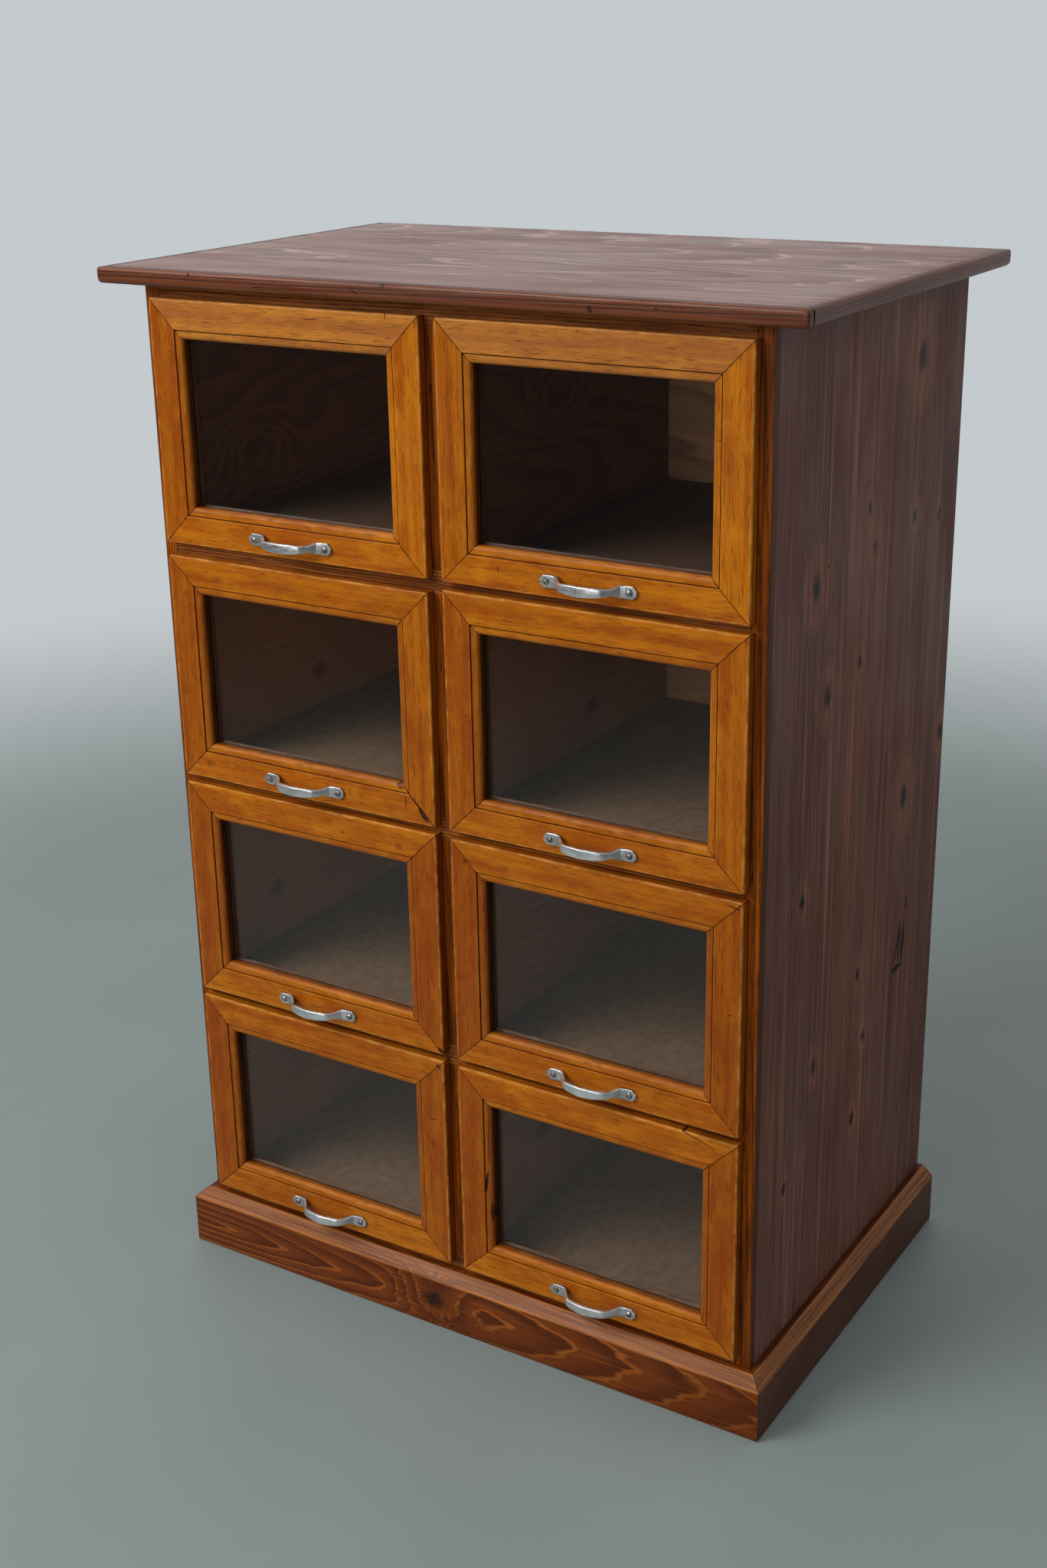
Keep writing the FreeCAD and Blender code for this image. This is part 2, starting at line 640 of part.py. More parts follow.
def front_frame(name, drop):
    """Moulded and mitred frame of a drawer front, lipped to sit over the edge of its opening."""
    thickness = "Sizes.front_proud + Sizes.front_in_bay"
    rebate = "Sizes.front_member - Sizes.glass_rebate"
    back = "-Sizes.front_in_bay"
    blank = new_body(f"{name}_blank")

    outline = closed_outline(blank, f"{name}_outline", "XZ_Plane", ring(drop, "0"), offset=back)
    pad(blank, outline, thickness)
    window = closed_outline(blank, f"{name}_window", "XZ_Plane", ring(drop, "Sizes.front_member"),
                            offset="Sizes.front_proud")
    pocket(blank, window, thickness)
    glazing = closed_outline(blank, f"{name}_glass_rebate", "XZ_Plane", ring(drop, rebate), offset=back)
    pocket(blank, glazing, "Sizes.front_in_bay", backward=True)

    # The lip: what is left in the opening clears it above and below, and fits between the drawer sides.
    lip = closed_outline(blank, f"{name}_lip", "XZ_Plane", ring(drop, "0"), offset=back)
    add_loop(lip, rectangle("-Layout.box_inside", "Sizes.bay_clearance",
                            "Layout.box_inside", "Sizes.bay_height - Sizes.bay_clearance"))
    pocket(blank, lip, "Sizes.front_in_bay", backward=True)
    groove = closed_outline(blank, f"{name}_bottom_groove", "XZ_Plane",
                            rectangle("-Layout.box_inside", "Sizes.box_groove_lift",
                                      "Layout.box_inside", "Layout.box_floor"), offset=back)
    pocket(blank, groove, "Sizes.box_groove_depth", backward=True)

    sunk = closed_outline(blank, f"{name}_sunk_strip", "XZ_Plane",
                          ring(drop, "Sizes.front_member - Sizes.mould_width"), offset="Sizes.front_proud")
    pocket(blank, sunk, "Sizes.mould_depth")

    def on_ring(edge, inset):
        """Whether an edge lies on the rectangle that is inset within the edge of the front."""
        low_x, low_z = ring(drop, inset)[0]
        high_x, high_z = ring(drop, inset)[2]
        return (flat_at(edge, "X", low_x) or flat_at(edge, "X", high_x)
                or flat_at(edge, "Z", low_z) or flat_at(edge, "Z", high_z))

    dress_edges(blank, "Fillet", f"{name}_outer_round",
                lambda edge: flat_at(edge, "Y", "-Sizes.front_proud") and on_ring(edge, "0"),
                Radius="Sizes.front_arris")
    dress_edges(blank, "Chamfer", f"{name}_sight_chamfer",
                lambda edge: flat_at(edge, "Y", "Sizes.mould_depth - Sizes.front_proud")
                and on_ring(edge, "Sizes.front_member"), Size="Sizes.sight_arris")
    return mitred(name, blank, drop)


def glass_pane(name, drop):
    """Pane that stands on the foot of its rebate, against the front."""
    half = "(Layout.front_width / 2 - Sizes.front_member + Sizes.glass_rebate - Sizes.glass_clearance)"
    foot = "Sizes.front_member - Sizes.front_rail_lap - Sizes.glass_rebate"
    height = (f"Sizes.bay_height + 2 * Sizes.front_rail_lap - ({drop}) - 2 * Sizes.front_member"
              " + 2 * Sizes.glass_rebate - Sizes.glass_clearance")
    return board(name, (f"-{half}", "0", foot), (f"2 * {half}", "Sizes.glass_thickness", height))


def glazing_beads(name, drop):
    """Four mitred beads that hold the pane from behind, flush with the sight edge."""
    blank = new_body(f"{name}_blank")
    outline = closed_outline(blank, f"{name}_outline", "XZ_Plane",
                             ring(drop, "Sizes.front_member - Sizes.glass_rebate"),
                             offset="-Sizes.front_in_bay")
    add_loop(outline, ring(drop, "Sizes.front_member"))
    pad(blank, outline, "Sizes.front_in_bay - Sizes.glass_thickness")
    return mitred(name, blank, drop)


def drawer_box():
    """Two sides against the lip of the front, the bottom in grooves, and the back housed in the sides."""
    pieces = []
    back_rear = "Sizes.box_length - Sizes.back_inset"
    back_front = f"{back_rear} - Sizes.box_back_thickness"
    back_height = "Layout.box_height - Layout.box_floor"
    for column, hand in COLUMNS:
        side = new_body(f"box_side_{column}")
        outer = f"{hand} * Layout.box_width / 2"
        inner = f"{hand} * Layout.box_inside"
        groove = f"{hand} * (Layout.box_inside + Sizes.box_groove_depth)"
        section = closed_outline(side, f"box_side_section_{column}", "XZ_Plane", [
            (outer, "0"),
            (inner, "0"),
            (inner, "Sizes.box_groove_lift"),
            (groove, "Sizes.box_groove_lift"),
            (groove, "Layout.box_floor"),
            (inner, "Layout.box_floor"),
            (inner, "Layout.box_height"),
            (outer, "Layout.box_height"),
        ])
        pad(side, section, "Sizes.box_length", backward=True)
        housed = f"{hand} * (Layout.box_inside + Sizes.back_housing)"
        housing = closed_outline(side, f"box_back_housing_{column}", "XY_Plane",
                                 rectangle(inner, back_front, housed, back_rear), offset="Layout.box_floor")
        pocket(side, housing, back_height, backward=True)
        pieces.append(side)
    back_half = "(Layout.box_inside + Sizes.back_housing)"
    pieces.append(board("box_back", (f"-{back_half}", back_front, "Layout.box_floor"),
                        (f"2 * {back_half}", "Sizes.box_back_thickness", back_height)))
    bottom_half = "(Layout.box_inside + Sizes.box_groove_depth)"
    bottom_front = "(Sizes.front_in_bay - Sizes.box_groove_depth)"
    pieces.append(board(
        "box_bottom", (f"-{bottom_half}", bottom_front, "Sizes.box_groove_lift"),
        (f"2 * {bottom_half}", f"Sizes.box_length - {bottom_front}", "Sizes.box_bottom_thickness")))
    return pieces


def pull():
    """Aluminium bow pull: flat pads, waisted necks and a bowed grip, all of one strap.

    Its own frame has the wood at y = 0 and the screws at z = 0.
    """
    body = new_body("pull_body")
    end = "Layout.pull_length / 2"
    inner_rise = "(Sizes.grip_rise - Sizes.grip_thickness)"
    lean = "(Sizes.neck_foot - Sizes.grip_end) / (Sizes.grip_rise - Sizes.pad_thickness)"
    inner_foot = f"(Sizes.neck_foot + Sizes.pad_thickness * {lean} - Sizes.neck_wall)"
    inner_end = f"({inner_foot} - {inner_rise} * {lean})"
    plan = closed_outline(body, "pull_plan", "XY_Plane", [
        (f"-{end}", "0"),
        (f"-{end}", "-Sizes.pad_thickness"),
        ("-Sizes.neck_foot", "-Sizes.pad_thickness"),
        ("-Sizes.grip_end", "-Sizes.grip_rise", "-Sizes.grip_bow"),
        ("Sizes.grip_end", "-Sizes.grip_rise"),
        ("Sizes.neck_foot", "-Sizes.pad_thickness"),
        (end, "-Sizes.pad_thickness"),
        (end, "0"),
        (inner_foot, "0"),
        (inner_end, f"-{inner_rise}", "Sizes.grip_bow"),
        (f"-{inner_end}", f"-{inner_rise}"),
        (f"-{inner_foot}", "0"),
    ])
    pad(body, plan, "Sizes.pad_height", both_ways=True)

    def bend(edge):
        """The upright edges where the strap bends: clear of the wood and of the pads' ends."""
        box = edge.BoundBox
        upright = box.XLength < EDGE_SLACK and box.YLength < EDGE_SLACK
        return upright and not near(box.YMax, "0") and not near(abs(box.XMin), end)

    dress_edges(body, "Fillet", "pull_bends", bend, Radius="Sizes.bend_radius")

    # Front view: pads with clipped corners, narrow waists and a fuller grip.
    pad_half, waist_half = "Sizes.pad_height / 2", "Sizes.waist_height / 2"
    spare = "Sizes.pad_height"
    surround = rectangle(f"-{end} - {spare}", f"-{pad_half} - {spare}",
                         f"{end} + {spare}", f"{pad_half} + {spare}")
    waste = closed_outline(body, "pull_front_view", "XZ_Plane", surround, offset="Layout.pull_depth")
    swell = "(Sizes.grip_height - Sizes.waist_height) / 2"
    add_loop(waste, [
        ("-Sizes.waist_place", waist_half, swell),
        ("Sizes.waist_place", waist_half),
        ("Sizes.pad_inner", pad_half),
        (f"{end} - Sizes.pad_clip", pad_half),
        (end, f"{pad_half} - Sizes.pad_clip"),
        (end, f"Sizes.pad_clip - {pad_half}"),
        (f"{end} - Sizes.pad_clip", f"-{pad_half}"),
        ("Sizes.pad_inner", f"-{pad_half}"),
        ("Sizes.waist_place", f"-{waist_half}", swell),
        ("-Sizes.waist_place", f"-{waist_half}"),
        ("-Sizes.pad_inner", f"-{pad_half}"),
        (f"Sizes.pad_clip - {end}", f"-{pad_half}"),
        (f"-{end}", f"Sizes.pad_clip - {pad_half}"),
        (f"-{end}", f"{pad_half} - Sizes.pad_clip"),
        (f"Sizes.pad_clip - {end}", pad_half),
        ("-Sizes.pad_inner", pad_half),
    ])
    pocket(body, waste, "Layout.pull_depth")
    return body


def pull_screw():
    """Head of a screw, seated on the pad at y = 0; its thread is buried in the wood and left out."""
    screw = new_body("screw_body")
    profile = closed_outline(screw, "screw_profile", "XY_Plane", [
        ("0", "-Sizes.screw_head_height"),
        ("Sizes.screw_top_radius", "-Sizes.screw_head_height"),
        ("Sizes.screw_head_radius", "0"),
        ("0", "0"),
    ])
    turning = screw.newObject("PartDesign::Revolution", "screw_turning")
    turning.Profile = profile
    turning.ReferenceAxis = (profile, ["V_Axis"])
    turning.Angle = 360
    doc.recompute()
    return screw


def placed(name, piece, x):
    """A copy of one piece, moved along X within its group."""
    copy = doc.addObject("Part::Compound", name)
    copy.Links = [piece]
    bind(copy, Placement__Base__x=x)
    return copy


def drawers():
    """Eight drawers from one set of pieces; the second front on the left is cut shorter at its top."""
    box_pieces = drawer_box()
    pull_piece = pull()
    screw = pull_screw()
    screws = [placed(f"screw_{column}", screw, f"{hand} * Sizes.screw_spacing / 2")
              for column, hand in COLUMNS]
    fronts = {}
    for kind, drop in (("full", "0"), ("short", "Sizes.short_front_drop")):
        fronts[kind] = (front_frame(f"front_{kind}", drop), glazing_beads(f"beads_{kind}", drop),
                        glass_pane(f"pane_{kind}", drop))
    for row, row_name in enumerate(ROWS):
        for column, hand in COLUMNS:
            place = f"{row_name}_{column}"
            kind = "short" if place == "upper_left" else "full"
            members, beads, pane = fronts[kind]
            x = f"{hand} * Layout.bay_centre"
            floor = bay_floor(row)
            wood_face = "Layout.face_y - Sizes.front_proud"
            pull_height = f"{floor} + Layout.pull_z"
            node(f"drawer_front_{place}", members, x, "Layout.face_y", floor)
            node(f"glazing_beads_{place}", beads, x, "Layout.face_y", floor)
            node(f"glass_{place}", [pane], x, "Layout.face_y", floor)
            node(f"drawer_box_{place}", box_pieces, x, "Layout.face_y", floor)
            node(f"pull_{place}", [pull_piece], x, wood_face, pull_height)
            node(f"pull_screws_{place}", screws, x, f"{wood_face} - Sizes.pad_thickness", pull_height)


drawers()


# ---------------------------------------------------------------------------------------------------
# Check every object, then write one file per sub-part
# ---------------------------------------------------------------------------------------------------

doc.recompute()
for thing in doc.Objects:
    if "Invalid" in thing.State or "Error" in thing.State:
        raise RuntimeError(f"{thing.Name} failed: {thing.State}")
for group in nodes:
    if group.Shape.isNull() or not group.Shape.isValid():
        raise RuntimeError(f"{group.Label} has no valid shape")

os.makedirs("parts", exist_ok=True)
for group in nodes:
    group.Shape.exportStep(f"parts/{group.Label}.step")
    print(f"{group.Label}: {len(group.Shape.Solids)} solids, {group.Shape.Volume / 1000:.1f} cm3")
print(f"{len(nodes)} nodes")
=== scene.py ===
import math
import random

import bmesh
import bpy
from mathutils import Matrix, Vector, noise


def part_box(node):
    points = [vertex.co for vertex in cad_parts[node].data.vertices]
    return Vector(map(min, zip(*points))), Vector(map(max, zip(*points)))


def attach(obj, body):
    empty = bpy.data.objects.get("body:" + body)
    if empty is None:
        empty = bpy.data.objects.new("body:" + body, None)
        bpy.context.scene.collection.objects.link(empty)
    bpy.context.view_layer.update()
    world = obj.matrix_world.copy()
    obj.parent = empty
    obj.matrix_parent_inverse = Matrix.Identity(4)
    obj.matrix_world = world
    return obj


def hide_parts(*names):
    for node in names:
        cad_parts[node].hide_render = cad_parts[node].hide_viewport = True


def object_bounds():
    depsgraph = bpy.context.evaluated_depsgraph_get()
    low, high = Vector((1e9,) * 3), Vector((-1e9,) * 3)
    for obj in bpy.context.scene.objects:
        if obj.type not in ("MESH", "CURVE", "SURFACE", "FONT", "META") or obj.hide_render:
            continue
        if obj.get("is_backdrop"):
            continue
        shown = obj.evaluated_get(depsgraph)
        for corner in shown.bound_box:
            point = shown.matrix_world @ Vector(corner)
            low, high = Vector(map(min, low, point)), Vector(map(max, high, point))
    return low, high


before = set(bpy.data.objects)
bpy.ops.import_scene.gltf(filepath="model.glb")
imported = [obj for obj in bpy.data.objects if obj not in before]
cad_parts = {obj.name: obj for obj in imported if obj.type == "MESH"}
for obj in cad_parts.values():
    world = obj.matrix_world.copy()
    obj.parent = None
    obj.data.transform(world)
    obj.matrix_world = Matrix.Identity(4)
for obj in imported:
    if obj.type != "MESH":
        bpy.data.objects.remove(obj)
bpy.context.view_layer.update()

# The room: a plain pale floor that runs off on all sides, a wide soft light high on the left, a small one
# low in front, and even light from all round that is brighter behind and above.  The viewer stands a
# little to the right of the cabinet.


def chip(red, green, blue):
    """A colour as a paint chip gives it, 0 to 255 for each, turned into light."""
    def light(part):
        part /= 255
        return part / 12.92 if part <= 0.04045 else ((part + 0.055) / 1.055) ** 2.4
    return (light(red), light(green), light(blue), 1.0)


def feed(tree, node, values):
    """Give each socket its number or colour, or link it to the socket it takes its value from."""
    for socket, given in values.items():
        if isinstance(given, bpy.types.NodeSocket):
            tree.links.new(given, node.inputs[socket])
        else:
            node.inputs[socket].default_value = given


def wire(tree, kind, values, out=0, **settings):
    """A new node, set and fed, of which one output comes back."""
    node = tree.nodes.new(kind)
    for name, setting in settings.items():
        setattr(node, name, setting)
    feed(tree, node, values)
    return node.outputs[out]


class Finish:
    """A surface put together node by node; any value may be a number, a colour or another node's socket."""

    def __init__(self, name, gloss=0.5, metal=0.0, index=1.5, sheen=0.5):
        self.surface = bpy.data.materials.new(name)
        self.surface.use_nodes = True
        self.tree = self.surface.node_tree
        self.wear(Roughness=gloss, Metallic=metal, IOR=index, Specular_IOR_Level=sheen)

    def wear(self, **sockets):
        """Set the shader's own sockets."""
        named = {name.replace("_", " "): given for name, given in sockets.items()}
        feed(self.tree, self.tree.nodes["Principled BSDF"], named)

    def add(self, kind, values, out=0, **settings):
        return wire(self.tree, "ShaderNode" + kind, values, out, **settings)

    def sum(self, operation, *given):
        return self.add("Math", dict(enumerate(given)), operation=operation)

    def times(self, first, second):
        return self.sum("MULTIPLY", first, second)

    def vector(self, operation, *given):
        return self.add("VectorMath", dict(enumerate(given)), operation=operation)

    def length(self, place):
        return self.add("VectorMath", {0: place}, out="Value", operation="LENGTH")

    def parts(self, place):
        return self.add("SeparateXYZ", {0: place}).node.outputs[:]

    def whole(self, along, across, depth):
        return self.add("CombineXYZ", {0: along, 1: across, 2: depth})

    def cloud(self, place, stretch, detail=2, rough=0.5, out="Fac"):
        """Noise whose blotches measure about one over each part of the stretch, in metres."""
        return self.add("TexNoise", {"Vector": self.vector("MULTIPLY", place, stretch), "Scale": 1.0,
                                     "Detail": detail, "Roughness": rough}, out=out)

    def jitter(self, place, stretch, detail=2):
        """A random nudge, up to a half each way in all three directions."""
        return self.vector("SUBTRACT", self.cloud(place, stretch, detail, out="Color"), (0.5, 0.5, 0.5))

    def span(self, given, low, high, start=0.0, end=1.0):
        """A soft step from start to end while the value goes from low to high."""
        return self.add("MapRange", {0: given, 1: low, 2: high, 3: start, 4: end},
                        interpolation_type="SMOOTHSTEP")

    def mix(self, share, first, second):
        return self.add("Mix", {0: share, 6: first, 7: second}, out=2, data_type="RGBA")

    def coat(self, share, tone):
        """Lay a tone over the colour so far."""
        self.colour = self.mix(share, self.colour, tone)

    def spot(self, name):
        """A measure that the mesh carries at every point."""
        return self.add("Attribute", {}, out="Fac", attribute_name=name)

    def object_place(self):
        return self.add("TexCoord", {}, out="Object")

    def relief(self, depth, *forms):
        """Raise and sink the surface by each form times its weight, of which 1 stands for the depth."""
        height = 0.0
        for form, weight in forms:
            height = self.sum("MULTIPLY_ADD", form, weight, height)
        self.wear(Normal=self.add("Bump", {"Height": height, "Distance": depth}))


scene = bpy.context.scene
scene.view_settings.view_transform = "Standard"


def stand(name, data):
    """Put something new in the room."""
    made = bpy.data.objects.new(name, data)
    scene.collection.objects.link(made)
    return made


EYE = (1.1767, -1.9722, 1.4873)
YAW, PITCH, ROLL = 0.55955, -0.36128, 0.01877
lens = bpy.data.cameras.new("eye")
lens.sensor_width = 36.0
lens.lens = 46.73
camera = stand("eye", lens)
turn = Matrix.Rotation(YAW, 3, "Z") @ Matrix.Rotation(PITCH, 3, "X") @ Matrix.Rotation(ROLL, 3, "Y")
camera.location = EYE
camera.rotation_euler = (turn @ Matrix.Rotation(math.pi / 2, 3, "X")).to_euler()
scene.camera = camera

BACKDROP, DAYLIGHT = chip(196, 202, 205), chip(236, 238, 240)
ROOM_AHEAD, ROOM_BEHIND = 0.10, 0.62  # how bright the room is in front, and behind and above
UPWARDS = 0.7  # how much looking up counts beside looking back

world = bpy.data.worlds.new("room_light")
world.use_nodes = True
scene.world = world
room = world.node_tree
toward = wire(room, "ShaderNodeTexCoord", {}, out="Generated")
_, back, up = wire(room, "ShaderNodeSeparateXYZ", {0: toward}).node.outputs
slant = wire(room, "ShaderNodeMath", {0: up, 1: UPWARDS, 2: back}, operation="MULTIPLY_ADD")
fade = wire(room, "ShaderNodeMapRange", {0: slant, 1: -0.6, 2: 0.5, 3: ROOM_AHEAD, 4: ROOM_BEHIND},
            interpolation_type="SMOOTHSTEP")
feed(room, room.nodes["Background"], {"Color": DAYLIGHT, "Strength": fade})
plain = wire(room, "ShaderNodeBackground", {"Color": BACKDROP})
seen = wire(room, "ShaderNodeLightPath", {}, out="Is Camera Ray")
either = wire(room, "ShaderNodeMixShader", {0: seen, 1: room.nodes["Background"].outputs[0], 2: plain})
feed(room, room.nodes["World Output"], {"Surface": either})

MIDDLE = Vector((0, 0, 0.6))


def soft_light(name, place, size, power):
    lamp = bpy.data.lights.new(name, "AREA")
    lamp.shape = "DISK"
    lamp.size = size
    lamp.energy = power
    holder = stand(name, lamp)
    holder.location = place
    holder.rotation_euler = (MIDDLE - Vector(place)).to_track_quat("-Z", "Y").to_euler()


soft_light("window", (-1.9, -2.8, 3.0), size=2.6, power=114)
soft_light("far_window", (0.30, -3.8, 1.30), size=1.0, power=20)

FLOOR_HALF = 6.0
FLOOR_FADE = (1.5, 3.4)  # the floor thins out between these distances
sheet = bmesh.new()
bmesh.ops.create_grid(sheet, x_segments=1, y_segments=1, size=FLOOR_HALF)
floor_mesh = bpy.data.meshes.new("floor")
sheet.to_mesh(floor_mesh)
sheet.free()
paint = Finish("floor_paint", gloss=0.45)
place = paint.object_place()
mottle = paint.cloud(place, (3, 3, 3), detail=5)
paint.wear(Base_Color=paint.mix(mottle, chip(133, 145, 142), chip(144, 156, 153)),
           Alpha=paint.span(paint.length(place), *FLOOR_FADE, 1.0, 0.0))
floor_mesh.materials.append(paint.surface)
stand("floor", floor_mesh)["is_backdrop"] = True

# Side panels: pine staves glued edge to edge, housed for the rails, stained dark and waxed.  The grain
# stands upright, each stave has taken the stain its own way, and knots and a torn crack show through it.

MM = 0.001


def dress(node, finish):
    """Give a piece that keeps its own shape the finish it has in life."""
    part = bpy.data.objects[node]
    part.data.materials.clear()
    part.data.materials.append(finish.surface)
    return part


def years(finish, place, ring, pith, tilt, wander, bulge=0.0, ripple=0.0):
    """How far through its year the wood of a sawn board is, 0 to 1.  The place runs along the grain,
    across it and into the board.

    The rings are shells round a pith that lies the given depth under the face and tilts out of it,
    which is what makes the arches of a flat-sawn board; a ripple makes the arches ragged.
    """
    bent = finish.vector("MULTIPLY_ADD", finish.jitter(place, (1.6, 7, 7)), (0.0, wander, wander), place)
    if ripple:
        bent = finish.vector("MULTIPLY_ADD", finish.jitter(place, (22, 12, 12)), (0.0, ripple, ripple), bent)
    along, across, depth = finish.parts(bent)
    under = finish.sum("ADD", finish.sum("MULTIPLY_ADD", along, tilt, pith), depth)
    radius = finish.sum("SQRT", finish.sum("ADD", finish.times(across, across), finish.times(under, under)))
    turns = finish.sum("DIVIDE", finish.sum("ADD", radius, bulge), ring)
    uneven = finish.cloud(place, (4, 60, 60))
    return finish.sum("FRACT", finish.sum("MULTIPLY_ADD", uneven, 0.9, turns))


def band(finish, year, start, full, fade, end):
    """The part of each year between start and end, coming up to full and fading out again."""
    return finish.times(finish.span(year, start, full), finish.span(year, fade, end, 1.0, 0.0))


def growth(finish, place, **rings):
    """Late wood, 0 to 1: it darkens slowly through the year and stops short at its end."""
    return band(finish, years(finish, place, **rings), 0.25, 0.86, 0.88, 1.0)


def knots(finish, place, spots):
    """How deep in a knot a place lies, 0 to 1, and how far the rings swell round it.

    Each knot is given by its place along and across the grain and its radius, in millimetres.
    """
    inside, swell = 0.0, 0.0
    uneven = finish.jitter(place, (130, 260, 130), detail=3)
    for along, across, radius in [[size * MM for size in spot] for spot in spots]:
        offset = finish.vector("SUBTRACT", place, (along, across, 0.0))
        offset = finish.vector("MULTIPLY_ADD", uneven, (radius * 1.8, radius * 1.6, 0.0), offset)
        reach = finish.length(finish.vector("MULTIPLY", offset, (0.66, 1.0, 0.0)))
        inside = finish.sum("MAXIMUM", inside, finish.span(reach, radius * 0.4, radius * 1.3, 1.0, 0.0))
        swell = finish.sum("ADD", swell, finish.span(reach, 0.0, radius * 5, radius * 2.2, 0.0))
    return inside, swell


def torn(finish, place, marks):
    """Nicks, dents and splits, 0 to 1, with ragged edges.

    Each is (along, across, half its length, half its width, lean, how dark), in millimetres and degrees.
    """
    deepest = 0.0
    ragged = finish.jitter(place, (300, 300, 300))
    for along, across, half_length, half_width, lean, dark in marks:
        heart = (along * MM, across * MM, 0.0)
        squeeze = (1 / (half_length * MM), 1 / (half_width * MM), 0.0)
        turned = finish.add("VectorRotate", {"Vector": place, "Center": heart, "Angle": -math.radians(lean)},
                            rotation_type="Z_AXIS")
        offset = finish.vector("SUBTRACT", turned, heart)
        reach = finish.length(finish.vector("MULTIPLY_ADD", offset, squeeze, ragged))
        deepest = finish.sum("MAXIMUM", deepest, finish.span(reach, 0.65, 1.05, dark, 0.0))
    return deepest


def staves(finish, across, joints):
    """Three numbers 0 to 1 for each stave, and the glue lines, from the places of the joints."""
    ramp = finish.tree.nodes.new("ShaderNodeValToRGB")
    ramp.color_ramp.interpolation = "CONSTANT"
    low, high = joints[0], joints[-1]
    feed(finish.tree, ramp, {0: finish.add("MapRange", {0: across, 1: low, 2: high})})
    draw = random.Random(int(abs(low) * 1e4) + len(joints))
    stops = ramp.color_ramp.elements
    for number, joint in enumerate(joints[:-1]):
        stop = stops[number] if number < 2 else stops.new(0.5)
        stop.position = (joint - low) / (high - low)
        stop.color = (draw.random(), draw.random(), draw.random(), 1.0)
    line = 0.0
    for joint in joints[1:-1]:
        away = finish.sum("ABSOLUTE", finish.sum("SUBTRACT", across, joint))
        line = finish.sum("MAXIMUM", line, finish.span(away, 0.0002, 0.0009, 1.0, 0.0))
    return finish.parts(ramp.outputs[0]), line


SIDE_JOINTS = [-0.242, -0.176, -0.118, -0.064, 0.003, 0.056, 0.103, 0.152, 0.200, 0.252]
SIDE_KNOTS = {
    "side_right": [(1138, 121, 12), (1000, -8, 6), (953, 11, 7), (944, -140, 10), (964, 121, 6),
                   (950, 196, 6), (820, -103, 9), (835, -19, 6), (677, 240, 8), (630, 130, 11),
                   (603, -150, 7), (450, 13, 6), (386, -104, 7), (360, 38, 6), (262, 14, 7), (267, -175, 6)],
    "side_left": [(1050, -70, 8), (880, 150, 7), (760, -20, 5), (640, -190, 8), (505, 90, 9), (330, -100, 6),
                  (215, 180, 7), (1130, 210, 5)],
}
SIDE_MARKS = {
    "side_right": [(439, 134, 37, 2.6, 19, 1.0), (434, 141, 31, 3, 6, 1.0), (433, 151, 30, 5, 4, 1.0),
                   (407, 135, 4.6, 17.5, 0, 1.0), (484, 158, 10, 2.4, 5, 1.0), (902, 151, 12, 1.2, 0, 1.0),
                   (395, 96, 7, 1.2, -30, 0.9), (365, 189, 2, 3, 0, 0.9), (960, -111, 3, 2.2, 0, 0.9),
                   (513, -92, 2, 2.2, 0, 0.9)],
    "side_left": [(720, 60, 20, 0.8, 2, 0.9), (300, -180, 9, 1.2, -20, 0.9), (980, 20, 2, 2, 0, 0.9)],
}
